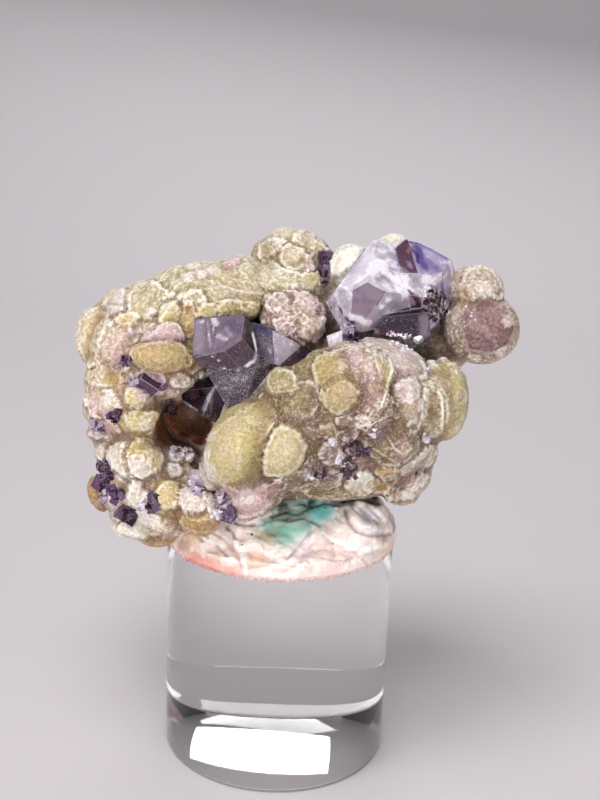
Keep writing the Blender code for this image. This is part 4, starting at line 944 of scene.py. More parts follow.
PUTTY_STAINS_AND_SHADOW = [
    ColourSpot(296, 530, 22, (112, 178, 168), 1.0),
    ColourSpot(320, 524, 16, (90, 160, 156), 1.0),
    ColourSpot(272, 541, 15, (146, 192, 176), 0.95),
    ColourSpot(290, 549, 13, (140, 204, 186), 0.9),
    ColourSpot(326, 526, 6, (104, 176, 176), 0.5),
    ColourSpot(314, 533, 5, (130, 200, 200), 0.5),
    ColourSpot(332, 522, 3, (140, 206, 206), 0.6),
    ColourSpot(336, 530, 6, (206, 222, 214), 0.6),
    ColourSpot(322, 540, 6, (216, 214, 200), 0.5),
    ColourSpot(303, 526, 7, (86, 138, 130), 0.9),
    ColourSpot(284, 530, 8, (96, 140, 128), 0.8),
    ColourSpot(283, 521, 6, (30, 56, 48), 0.95),
    ColourSpot(310, 518, 6, (26, 54, 52), 0.95),
    ColourSpot(334, 516, 5, (40, 70, 70), 0.9),
    ColourSpot(256, 548, 7, (196, 190, 160), 0.8),
    ColourSpot(266, 553, 8, (206, 190, 156), 0.7),
    ColourSpot(190, 552, 11, (206, 164, 116), 0.6),
    ColourSpot(183, 560, 7, (170, 122, 84), 0.7),
    ColourSpot(192, 576, 11, (228, 150, 134), 0.9),
    ColourSpot(210, 582, 13, (230, 158, 144), 0.9),
    ColourSpot(230, 589, 11, (228, 160, 150), 0.8),
    ColourSpot(366, 532, 7, (160, 170, 190), 0.6),
    ColourSpot(378, 546, 6, (150, 150, 160), 0.5),
    # The next two spots are painted shadow: the dark gap under the crust at the top right
    ColourSpot(372, 514, 8, (30, 24, 24), 0.95),
    ColourSpot(350, 516, 6, (50, 50, 54), 0.9),
    ColourSpot(255, 574, 12, (240, 190, 160), 0.6),
    ColourSpot(300, 560, 12, (250, 238, 240), 0.6),
    ColourSpot(330, 580, 14, (244, 214, 208), 0.5),
    ColourSpot(386, 560, 10, (240, 216, 190), 0.6),
]
PUTTY_BODY = (244, 228, 220)
# The colour of the painted highlight on the putty's raised folds
PUTTY_HIGHLIGHT = (254, 250, 248)
PUTTY_BEADS = (190, 88, 92)


# Places in the front view

def view_axes(down=VIEW_DOWN):
    """The front view's own directions: ahead, to the right and up."""
    across = Vector((1, 0, 0))
    ahead = Vector((0, math.cos(down), -math.sin(down)))
    up = across.cross(ahead)
    right = math.cos(VIEW_ROLL) * across + math.sin(VIEW_ROLL) * up
    above = math.cos(VIEW_ROLL) * up - math.sin(VIEW_ROLL) * across
    return ahead, right, above


def ray_through(u, v):
    """The direction of the front view's line of sight through (u, v)."""
    ahead, right, above = view_axes()
    return ahead * VIEW_FOCAL + right * (u - VIEW_CENTRE[0]) + above * (VIEW_CENTRE[1] - v)


def seen_at(u, v, depth):
    """The point at this depth, in mm, on the front view's line of sight through (u, v)."""
    ray = ray_through(u, v)
    return VIEWPOINT + ray * ((depth * MM - VIEWPOINT.y) / ray.y)


def tree_of(*names):
    """A search tree of the named CAD nodes' surfaces."""
    points = []
    faces = []
    for name in names:
        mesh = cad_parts[name].data
        start = len(points)
        points += [vert.co.copy() for vert in mesh.vertices]
        faces += [[start + index for index in face.vertices] for face in mesh.polygons]
    return BVHTree.FromPolygons(points, faces)


def touch(tree, u, v):
    """Where the line of sight through (u, v) meets the surface, and which way it faces."""
    hit = tree.ray_cast(VIEWPOINT, ray_through(u, v))[0]
    if hit is None:
        hit = tree.find_nearest(seen_at(u, v, 0))[0]
    facing = Vector((0, -0.01, 0))
    for shift_u, shift_v in itertools.product((-4, 0, 4), repeat=2):
        point, normal, _, _ = tree.ray_cast(VIEWPOINT, ray_through(u + shift_u, v + shift_v))
        if point is not None and (point - hit).length < 1.6 * MM:
            facing += normal
    return hit, facing.normalized()


# Colours

def linear(colour):
    """A linear colour from one given in display values up to 255."""
    shares = np.array(colour, float) / 255
    return np.where(shares <= 0.04045, shares / 12.92, ((shares + 0.055) / 1.055) ** 2.4)


# Lobes, bumps and strewn lobes as placed unit spheres

def lobe_matrix(lobe):
    """Places a unit sphere as this lobe. A positive tilt turns it anticlockwise in the view."""
    turn = Matrix.Rotation(-math.radians(lobe.tilt), 4, "Y")
    sizes = (lobe.wide * MM, lobe.deep * MM, lobe.tall * MM, 1)
    return Matrix.Translation(seen_at(lobe.u, lobe.v, lobe.depth)) @ turn @ Matrix.Diagonal(sizes)


def placed_bumps(bumps, tree):
    """Each bump with its place and the way it faces, as arrays."""
    made = []
    for bump in bumps:
        point, facing = touch(tree, bump.u, bump.v)
        made.append((bump, np.array(point), np.array(facing)))
    return made


def body_matrix(centre, sizes):
    return Matrix.Translation(Vector(centre) * MM) @ Matrix.Diagonal((*[side * MM for side in sizes], 1))


def is_inside(point, matrices, share=1.0):
    """True where a point lies within this share of the size of any of the lobes."""
    return any((matrix.inverted() @ point).length < share for matrix in matrices)


def strewn_matrices():
    """Mid-sized lobes on the sides and the back of the body."""
    rng = random.Random(STREWN_SEED)
    bodies = [body_matrix(centre, sizes) for centre, sizes in BODY]
    made = []
    for _ in range(STREWN_TRIES):
        body = rng.choice(bodies)
        direction = Vector((rng.gauss(0, 1), rng.gauss(0, 1), rng.gauss(0, 1))).normalized()
        size = rng.uniform(*STREWN_SIZE) * MM
        centre = body @ (direction * 0.94)
        if centre.y < 7 * MM or centre.z < 38 * MM or is_inside(centre, bodies, 0.9):
            continue
        if all((centre - other.translation).length > STREWN_SPACING * MM for other in made):
            made.append(Matrix.Translation(centre) @ Matrix.Diagonal((size, size, size, 1)))
    return made


def grown(matrix, more):
    """The same lobe, larger by this much on every side."""
    scales = [1 + more / column.to_3d().length for column in matrix.col[:3]]
    return matrix @ Matrix.Diagonal((*scales, 1))


def bump_cover(points, bump, centre, facing, wobble):
    """How far each point lies from the bump's middle, in radii, and whether it is near it."""
    offset = points - centre
    up = offset @ facing
    flat_way = offset - up[:, None] * facing
    share = np.linalg.norm(flat_way, axis=1) / (bump.radius * PIXEL) * wobble
    return np.where(np.abs(up) < 2.5 * MM, share, 9.0)


def front_places(points):
    """Where each point is seen in the front view."""
    ahead, right, above = [np.array(axis) for axis in view_axes()]
    offset = points - np.array(VIEWPOINT)
    depth = offset @ ahead
    return np.stack([VIEW_CENTRE[0] + VIEW_FOCAL * (offset @ right) / depth,
                     VIEW_CENTRE[1] - VIEW_FOCAL * (offset @ above) / depth], axis=1)


def inset(places, outline):
    """How far each place lies inside the outline, in pixels, negative outside."""
    nearest = np.full(len(places), 99.0)
    inside = np.zeros(len(places), bool)
    corners = np.array(outline, float)
    for here, there in zip(corners, np.roll(corners, -1, axis=0)):
        along = there - here
        share = np.clip((places - here) @ along / (along @ along), 0, 1)
        away = np.linalg.norm(places - here - share[:, None] * along, axis=1)
        nearest = np.minimum(nearest, away)
        if here[1] != there[1]:
            crosses = (here[1] > places[:, 1]) != (there[1] > places[:, 1])
            reach = here[0] + (places[:, 1] - here[1]) / along[1] * along[0]
            inside ^= crosses & (places[:, 0] < reach)
    return np.where(inside, nearest, -nearest)


def cap_insets(points, normals, caps, tree):
    """For each cap: which points are near it, how far inside its wavy edge, and its facing."""
    places = front_places(points)
    wave = 1.6 * round_tops(points, 0.75 * MM, 12) + 0.8 * round_tops(points, 0.4 * MM, 13)
    seen = normals @ np.array(view_axes()[0]) < 0.25
    made = []
    for cap in caps:
        corners = np.array(cap.outline, float)
        middle = corners.mean(axis=0)
        centre, facing = touch(tree, *middle)
        radius = np.linalg.norm(corners - middle, axis=1).max() * PIXEL
        near = seen & (np.linalg.norm(points - np.array(centre), axis=1) < 1.3 * radius + 1.5 * MM)
        index = np.nonzero(near)[0]
        made.append((cap, index, inset(places[index], cap.outline) + wave[index], np.array(facing)))
    return made


def raised_forms(points, cap_places, bumps):
    """Points moved out to the tops of the caps and bumps, each to the highest over it."""
    wobble = 0.88 + 0.22 * round_tops(points, 0.8 * MM, 6)
    rise = np.zeros(len(points))
    way = np.zeros_like(points)
    for cap, index, depth, facing in cap_places:
        edge = np.clip(depth / CAP_EDGE, 0, 1)
        dome = 1 - (1 - np.clip(depth / 14, 0, 1)) ** 2
        height = cap.high * MM * (0.62 * np.sqrt(1 - (1 - edge) ** 2) + 0.38 * dome)
        height += CAP_RIM * np.exp(-((depth - 2.4) / 1.4) ** 2)
        higher = index[height > rise[index]]
        rise[index] = np.maximum(rise[index], height)
        way[higher] = facing
    for bump, centre, facing in bumps:
        share = bump_cover(points, bump, centre, facing, wobble)
        height = BUMP_SHARE * bump.high * MM * np.sqrt(np.clip(1 - share ** 2, 0, 1))
        higher = height > rise
        way[higher] = facing
        rise = np.maximum(rise, height)
    return points + way * rise[:, None]


def flattened(points, tree):
    """Points of the ball pressed back to its flat face."""
    u, v, deep = BALL_FLAT
    centre, facing = [np.array(way) for way in touch(tree, u, v)]
    height = (points - centre) @ facing + deep * MM
    return points - np.maximum(height, 0)[:, None] * facing


# Meshes

def new_object(name, made_mesh):
    """Turns a bmesh into an object of the scene."""
    mesh = bpy.data.meshes.new(name)
    made_mesh.to_mesh(mesh)
    made_mesh.free()
    made = bpy.data.objects.new(name, mesh)
    bpy.context.scene.collection.objects.link(made)
    return made


def drop(thing):
    """Removes a helper object and its mesh."""
    mesh = thing.data
    bpy.data.objects.remove(thing)
    bpy.data.meshes.remove(mesh)


def bake_modifiers(thing):
    """Replaces the object's mesh with the one that its modifiers make."""
    graph = bpy.context.evaluated_depsgraph_get()
    baked = bpy.data.meshes.new_from_object(thing.evaluated_get(graph))
    old = thing.data
    thing.modifiers.clear()
    thing.data = baked
    bpy.data.meshes.remove(old)


def fuse(thing, voxel):
    """Joins what overlaps in the object into one skin."""
    remesh = thing.modifiers.new("fuse", "REMESH")
    remesh.mode = "VOXEL"
    remesh.voxel_size = voxel
    bake_modifiers(thing)


def boolean(thing, other, operation, solver):
    cut = thing.modifiers.new("join", "BOOLEAN")
    cut.operation = operation
    cut.solver = solver
    cut.object = other
    bake_modifiers(thing)


def sphere_cluster(name, matrices, others=(), finely=4):
    """One object of overlapping unit spheres, each under its own matrix, and other blocks."""
    cluster = bmesh.new()
    for matrix in matrices:
        bmesh.ops.create_icosphere(cluster, subdivisions=finely, radius=1.0, matrix=matrix)
    for block in others:
        mesh = bpy.data.meshes.new("block")
        block.to_mesh(mesh)
        block.free()
        cluster.from_mesh(mesh)
        bpy.data.meshes.remove(mesh)
    return new_object(name, cluster)


def add_rod(cluster, radius, low, high, segments=96):
    """A plain upright cylinder on the Z axis, between two heights."""
    bmesh.ops.create_cone(cluster, cap_ends=True, segments=segments, radius1=radius, radius2=radius,
                          depth=high - low, matrix=Matrix.Translation((0, 0, (low + high) / 2)))


# Arrays of a mesh's points

def points_of(mesh):
    points = np.empty(len(mesh.vertices) * 3, np.float32)
    mesh.vertices.foreach_get("co", points)
    return points.reshape(-1, 3).astype(float)


def normals_of(mesh):
    normals = np.empty(len(mesh.vertices) * 3, np.float32)
    mesh.vertex_normals.foreach_get("vector", normals)
    return normals.reshape(-1, 3).astype(float)


def set_points(mesh, points):
    mesh.vertices.foreach_set("co", points.astype(np.float32).ravel())
    mesh.update()


def edges_of(mesh):
    edges = np.empty(len(mesh.edges) * 2, np.int32)
    mesh.edges.foreach_get("vertices", edges)
    return edges.reshape(-1, 2)


def smoothed(values, edges, rounds):
    """Values of the points, each averaged with its neighbours this many times."""
    count = len(values)
    ends = np.concatenate([edges[:, 0], edges[:, 1]])
    others = np.concatenate([edges[:, 1], edges[:, 0]])
    links = np.maximum(np.bincount(ends, minlength=count), 1)
    flat = values.ndim == 1
    columns = [values] if flat else list(values.T)
    for _ in range(rounds):
        columns = [
            0.4 * column + 0.6 * np.bincount(ends, column[others], minlength=count) / links
            for column in columns
        ]
    return columns[0] if flat else np.array(columns).T


def cell_pattern(points, size, seed):
    """Jittered cells: distance to the nearest and next nearest seed, the way from the nearest
    seed, all in cells, and a random direction for each cell."""
    rng = np.random.default_rng(seed)
    table = rng.random((4096, 3))
    leans = rng.normal(size=(4096, 3))
    places = points / size
    base = np.floor(places).astype(np.int64)
    nearest = np.full(len(points), 9.0)
    next_nearest = nearest.copy()
    way = np.zeros_like(points)
    pick = np.zeros(len(points), np.int64)
    for shift in itertools.product((-1, 0, 1), repeat=3):
        cell = base + np.array(shift)
        mixed_up = cell @ np.array([7919, 104729, 611953])
        index = (mixed_up ^ (mixed_up >> 7)) % 4096
        offset = places - cell - table[index]
        away = np.linalg.norm(offset, axis=1)
        next_nearest = np.minimum(next_nearest, np.maximum(nearest, away))
        closer = away < nearest
        way[closer] = offset[closer]
        pick[closer] = index[closer]
        nearest = np.minimum(nearest, away)
    return nearest, next_nearest, way, leans[pick]


def grown_bumps(points, size, seed):
    """Heights from 0 to 1 of small round bumps grown against each other."""
    nearest, next_nearest, _, _ = cell_pattern(points, size, seed)
    return np.sqrt(np.clip((next_nearest - nearest) / 0.7, 0, 1))


def round_tops(points, size, seed):
    """Heights, about -1 to 1, of round tops that meet in sharp creases."""
    nearest, _, _, _ = cell_pattern(points, size, seed)
    return 1 - 2 * np.clip(nearest, 0, 1) ** 2


def facets(points, size, seed):
    """Heights, about -1 to 1, of small flat faces that each lean their own way."""
    _, _, way, lean = cell_pattern(points, size, seed)
    return np.clip((way * lean).sum(axis=1), -1, 1)


def distance_to_path(points, path):
    """Distance from each point to a path of straight stretches."""
    least = np.full(len(points), 1e4)
    for here, there in zip(path, path[1:]):
        start = np.array(here)
        along = np.array(there) - start
        share = np.clip((points - start) @ along / max(along @ along, 1e-12), 0, 1)
        least = np.minimum(least, np.linalg.norm(points - start - share[:, None] * along, axis=1))
    return least


def look_values(name):
    look = LOOKS[name]
    return np.concatenate([linear(look.body), linear(look.crest), [look.bumps]])


def blended_looks(points, spheres, cap_places, bumps):
    """Body colour, highlight colour, bump strength, painted rim highlight and painted contact shade of
    each point, from what it is on.
    """
    rim_highlight = np.zeros(len(points))
    contact_shade = np.zeros(len(points))
    total = np.zeros(len(points))
    mixed = np.zeros((len(points), 7))
    for matrix, look_name in spheres:
        values = look_values(look_name)
        inverse = np.array(matrix.inverted())
        local = points @ inverse[:3, :3].T + inverse[:3, 3]
        share = np.maximum(np.linalg.norm(local, axis=1), 1e-3)
        reach = np.linalg.norm(points - np.array(matrix.translation), axis=1)
        away = np.clip(reach * (1 - 1 / share), -0.6 * MM, 6 * MM)
        weight = np.exp(-away / (0.16 * MM))
        total += weight
        mixed += weight[:, None] * values
    mixed /= np.maximum(total, 1e-12)[:, None]
    for cap, index, depth, _ in cap_places:
        share = np.clip((depth + 0.5) / 2, 0, 1)[:, None]
        mixed[index] += share * (look_values(cap.look) - mixed[index])
        rim_highlight[index] *= 1 - share[:, 0]
        contact_shade[index] *= 1 - share[:, 0]
        # Painted rim highlight just inside each cap's wavy edge, painted contact shade just outside it
        rim_highlight[index] = np.maximum(rim_highlight[index], np.exp(-((depth - 1.6) / 1.5) ** 2))
        contact_shade[index] = np.maximum(contact_shade[index], np.exp(-((depth + 2.2) / 1.8) ** 2))
    wobble = 0.88 + 0.22 * round_tops(points, 0.8 * MM, 6)
    for bump, centre, facing in bumps:
        share = 0.85 * np.clip((1.1 - bump_cover(points, bump, centre, facing, wobble)) / 0.35, 0, 1)
        mixed += share[:, None] * (look_values(bump.look) - mixed)
    return mixed[:, :3], mixed[:, 3:6], mixed[:, 6], rim_highlight, contact_shade


def with_colour_spots(colours, points, colour_spots, tree):
    """The colours with each colour spot worked in where it is seen: stains, and a few spots of painted
    shade.
    """
    places = front_places(points)
    wobble = 0.75 + 0.5 * grown_bumps(points, 0.9 * MM, 5)
    for colour_spot in colour_spots:
        centre, _ = touch(tree, colour_spot.u, colour_spot.v)
        away = np.linalg.norm(places - np.array([colour_spot.u, colour_spot.v]), axis=1) / colour_spot.radius
        deep = np.linalg.norm(points - np.array(centre), axis=1) - colour_spot.radius * PIXEL
        share = colour_spot.strength * np.exp(-((away * wobble) ** 4)) * (deep < LAID_DEPTH)
        colours = colours + share[:, None] * (linear(colour_spot.colour) - colours)
    return colours


def lined(points, normals, colours, lines, tree):
    """Points raised or sunk along each line where it is seen, and their colours."""
    places = front_places(points)
    for line in lines:
        path = [touch(tree, u, v)[0] for u, v in line.places]
        away = distance_to_path(places, line.places) * PIXEL / (line.width * MM)
        near = distance_to_path(points, path) < LAID_DEPTH
        share = np.exp(-away ** 2) * near
        points = points + normals * (share * line.high * MM)[:, None]
        colours = colours + (0.8 * share)[:, None] * (linear(line.colour) - colours)
    return points, colours


def write_colour(mesh, name, colours):
    layer = mesh.attributes.new(name, "FLOAT_COLOR", "POINT")
    full = np.ones((len(colours), 4), np.float32)
    full[:, :3] = np.clip(colours, 0, 1)
    layer.data.foreach_set("color", full.ravel())


def write_value(mesh, name, values):
    layer = mesh.attributes.new(name, "FLOAT", "POINT")
    layer.data.foreach_set("value", values.astype(np.float32))


# Crystals

def crystal_planes(crystal):
    """Point, outward normal and finish of each flat face of a crystal."""
    corners = {key: seen_at(*place) for key, place in crystal.corners.items()}
    middle_u = sum(u for u, v in crystal.outline) / len(crystal.outline)
    middle_v = sum(v for u, v in crystal.outline) / len(crystal.outline)
    inside = seen_at(middle_u, middle_v, crystal.back - 0.5)
    planes = [(seen_at(middle_u, middle_v, crystal.back), Vector((0, 1, 0)), crystal.sides)]
    for name, finish in crystal.faces.items():
        first, second, third = [corners[key] for key in name]
        planes.append((first, (second - first).cross(third - first).normalized(), finish))
    rim = [seen_at(u, v, 0) for u, v in crystal.outline]
    for here, there in zip(rim, rim[1:] + rim[:1]):
        normal = (here - VIEWPOINT).cross(there - VIEWPOINT).normalized()
        planes.append((here, normal, crystal.sides))
    outward = []
    for point, normal, finish in planes:
        away = 1 if (inside - point).dot(normal) < 0 else -1
        outward.append((point, normal * away, finish))
    return inside, outward


def cube_planes(cube):
    """Point, outward normal and finish of each side of a turned cube."""
    centre = seen_at(cube.u, cube.v, cube.depth)
    turn = Euler([math.radians(angle) for angle in cube.turn]).to_matrix()
    outward = []
    for axis, half in zip(turn.col, cube.edges):
        for way in (axis.copy(), -axis):
            outward.append((centre + way * half * MM, way, shaded_side_finish(cube.look, way)))
    return centre, outward


def shaded_side_finish(look, way):
    """The finish of a cube's side that faces this way: the look's lighter or darker copy for that facing,
    painted light and shade.
    """
    side = "top" if way.z > 0.45 else "left" if way.x < 0.1 else "right"
    return look + "_" + side


def planes_of(shape):
    return cube_planes(shape) if isinstance(shape, Cube) else crystal_planes(shape)


def crystal_mesh(shape, grow):
    """The closed convex block of a crystal or cube, every face moved outward by grow."""
    inside, planes = planes_of(shape)
    block = bmesh.new()
    bmesh.ops.create_cube(block, size=60 * MM, matrix=Matrix.Translation(inside))
    for point, normal, _ in planes:
        cut = bmesh.ops.bisect_plane(
            block, geom=block.verts[:] + block.edges[:] + block.faces[:], dist=1e-7,
            plane_co=point + normal * grow, plane_no=normal, clear_outer=True)
        rim = [piece for piece in cut["geom_cut"] if isinstance(piece, bmesh.types.BMEdge)]
        if rim:
            bmesh.ops.contextual_create(block, geom=rim)
    bmesh.ops.dissolve_degenerate(block, dist=2e-5, edges=block.edges[:])
    bmesh.ops.recalc_face_normals(block, faces=block.faces[:])
    return block


def crystal_group(name, shapes, grow):
    """One solid of the crystals that grew together."""
    group = None
    for step, shape in enumerate(shapes):
        block = new_object(name if step == 0 else "other", crystal_mesh(shape, grow))
        if group is None:
            group = block
        else:
            boolean(group, block, "UNION", "EXACT")
            drop(block)
    return group


def write_finishes(mesh, finishes, edges):
    """Writes the colour, frost, dust and edge of each face."""
    full = np.ones((len(finishes), 4), np.float32)
    full[:, :3] = np.array([linear(finish.colour) for finish in finishes])
    mesh.attributes.new("tint", "FLOAT_COLOR", "FACE").data.foreach_set("color", full.ravel())
    values = {
        "frost": [finish.frost for finish in finishes],
        "dust": [finish.dust for finish in finishes],
        "edge": edges,
    }
    for name, listed in values.items():
        mesh.attributes.new(name, "FLOAT", "FACE").data.foreach_set("value", listed)


def finish_faces(mesh, shapes):
    """Gives each face of the group the finish of the plane it lies in."""
    planes = [plane for shape in shapes for plane in planes_of(shape)[1]]
    finishes = []
    edges = []
    for face in mesh.polygons:
        best = min(planes, key=lambda plane: abs((face.center - plane[0]).dot(plane[1]))
                   + 4 * MM * (1 - face.normal.dot(plane[1])))
        finishes.append(FINISHES[best[2]])
        # Eased edge faces are marked; the material paints them pale, partly frosting and partly painted
        # glint
        edges.append(1.0 if face.normal.dot(best[1]) < 0.995 else 0.0)
    write_finishes(mesh, finishes, edges)


def split_fine(mesh, longest):
    """Splits long edges until none is longer than this, so that faces can hold patches."""
    fine = bmesh.new()
    fine.from_mesh(mesh)
    bmesh.ops.triangulate(fine, faces=fine.faces[:])
    for _ in range(SPLIT_ROUNDS):
        too_long = [edge for edge in fine.edges if edge.calc_length() > longest]
        bmesh.ops.subdivide_edges(fine, edges=too_long, cuts=1, use_grid_fill=True, use_single_edge=True)
        bmesh.ops.triangulate(fine, faces=[face for face in fine.faces if len(face.verts) > 3])
    fine.to_mesh(mesh)
    fine.free()


def patch_crystals(mesh, patches, tree):
    """Works the patches into the points: colour by share, the share itself, frost and relief."""
    points = points_of(mesh)
    normals = normals_of(mesh)
    wobble = 0.75 + 0.5 * grown_bumps(points, 0.6 * MM, 15)
    colours = np.zeros_like(points)
    shares = np.zeros(len(points))
    frosts = np.zeros(len(points))
    rise = np.zeros(len(points))
    for patch in patches:
        path = [touch(tree, u, v)[0] for u, v in patch.places]
        away = distance_to_path(points, path + path[-1:]) / (patch.radius * PIXEL)
        share = patch.share * np.exp(-(away * wobble) ** 4)
        colours += share[:, None] * (linear(patch.colour) - colours)
        shares += share * (1 - shares)
        frosts += share * (patch.frost - frosts)
        rise += share * (patch.high * MM - rise)
    rise += frosts * 0.05 * MM * facets(points, 0.8 * MM, 16)
    set_points(mesh, points + normals * rise[:, None])
    write_colour(mesh, "patch", colours)
    write_value(mesh, "patched", shares)
    write_value(mesh, "patch_frost", frosts)


def finished_crystals(name, node_name, shapes, material):
    """The crystals of one group with eased edges, a finish for each face, and patches."""
    group = crystal_group(name, shapes, 0.0)
    ease = group.modifiers.new("ease", "BEVEL")
    ease.width = CRYSTAL_EASE
    ease.segments = 2
    ease.limit_method = "ANGLE"
    ease.angle_limit = math.radians(24)
    bake_modifiers(group)
    finish_faces(group.data, shapes)
    if node_name in CRYSTAL_PATCHES:
        split_fine(group.data, CRYSTAL_GRID)
    patch_crystals(group.data, CRYSTAL_PATCHES.get(node_name, []), tree_of(node_name))
    group.data.shade_smooth()
    group.data.set_sharp_from_angle(angle=CRYSTAL_CREASE)
    group.data.materials.clear()
    group.data.materials.append(material)
    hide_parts(node_name)
    return group


def druse(pieces, material):
    """Small cubes grown on the finished surface, each sunk part of the way into it."""
    points = []
    faces = []
    for piece in pieces:
        start = len(points)
        points += [vert.co.copy() for vert in piece.data.vertices]
        faces += [[start + index for index in face.vertices] for face in piece.data.polygons]
    tree = BVHTree.FromPolygons(points, faces)
    rng = random.Random(DRUSE_SEED)
    grown_on = bmesh.new()
    looks = []
    for spot in DRUSES:
        for _ in range(spot.count):
            away = spot.radius * math.sqrt(rng.random())
            angle = rng.uniform(0, 2 * math.pi)
            ray = ray_through(spot.u + away * math.cos(angle), spot.v + away * math.sin(angle))
            half = spot.size * rng.uniform(0.5, 1.0) * MM
            turn = Euler([rng.uniform(0, math.pi) for _ in range(3)]).to_matrix().to_4x4()
            hit, normal, _, _ = tree.ray_cast(VIEWPOINT, ray)
            if hit is None:
                continue
            place = Matrix.Translation(hit - normal * half * 0.35) @ turn
            bmesh.ops.create_cube(grown_on, size=2 * half, matrix=place)
            looks += [spot.look] * 6
    piece = new_object("druse", grown_on)
    mesh = piece.data
    # Each side takes its look's lighter or darker copy by which way it faces: painted light and shade
    finishes = [FINISHES[shaded_side_finish(look, face.normal)] for look, face in zip(looks, mesh.polygons)]
    write_finishes(mesh, finishes, [0.0] * len(finishes))
    patch_crystals(mesh, [], tree)
    mesh.materials.append(material)
    return piece


# Material nodes

def new_material(name):
    made = bpy.data.materials.new(name)
    made.use_nodes = True
    return made, made.node_tree, made.node_tree.nodes["Principled BSDF"]


def node(tree, kind, inputs=None, **settings):
    """A shader node with its settings, and its inputs given as values or as links."""
    made = tree.nodes.new(kind)
    for key, value in settings.items():
        setattr(made, key, value)
    for key, value in (inputs or {}).items():
        socket = made.inputs[key]
        if isinstance(value, bpy.types.NodeSocket):
            tree.links.new(value, socket)
        else:
            socket.default_value = value
    return made


def attribute(tree, name, output="Fac"):
    return node(tree, "ShaderNodeAttribute", attribute_name=name).outputs[output]


def sums(tree, operation, first, second, third=None, clamp=False):
    """One arithmetic step."""
    made = node(tree, "ShaderNodeMath", {0: first, 1: second}, operation=operation, use_clamp=clamp)
    if third is not None:
        if isinstance(third, bpy.types.NodeSocket):
            tree.links.new(third, made.inputs[2])
        else:
            made.inputs[2].default_value = third
    return made.outputs[0]


def ramp(tree, value, low, high, out_low=0.0, out_high=1.0):
    """A value that goes from out_low to out_high as the given one goes from low to high."""
    return node(tree, "ShaderNodeMapRange", {
        "Value": value, "From Min": low, "From Max": high, "To Min": out_low, "To Max": out_high,
    }, interpolation_type="SMOOTHSTEP").outputs["Result"]


def mixed(tree, share, first, second, blend="MIX"):
    """A mix of two colours."""
    made = node(tree, "ShaderNodeMix", data_type="RGBA", blend_type=blend)
    for socket, value in ((made.inputs[0], share), (made.inputs[6], first), (made.inputs[7], second)):
        if isinstance(value, bpy.types.NodeSocket):
            tree.links.new(value, socket)
        else:
            socket.default_value = value
    return made.outputs[2]


def flat(colour):
    """A colour socket's value from a display colour."""
    return (*linear(colour), 1.0)


def noise(tree, place, scale, detail=3.0, roughness=0.55):
    return node(tree, "ShaderNodeTexNoise", {
        "Vector": place, "Scale": scale, "Detail": detail, "Roughness": roughness,
    }).outputs["Fac"]


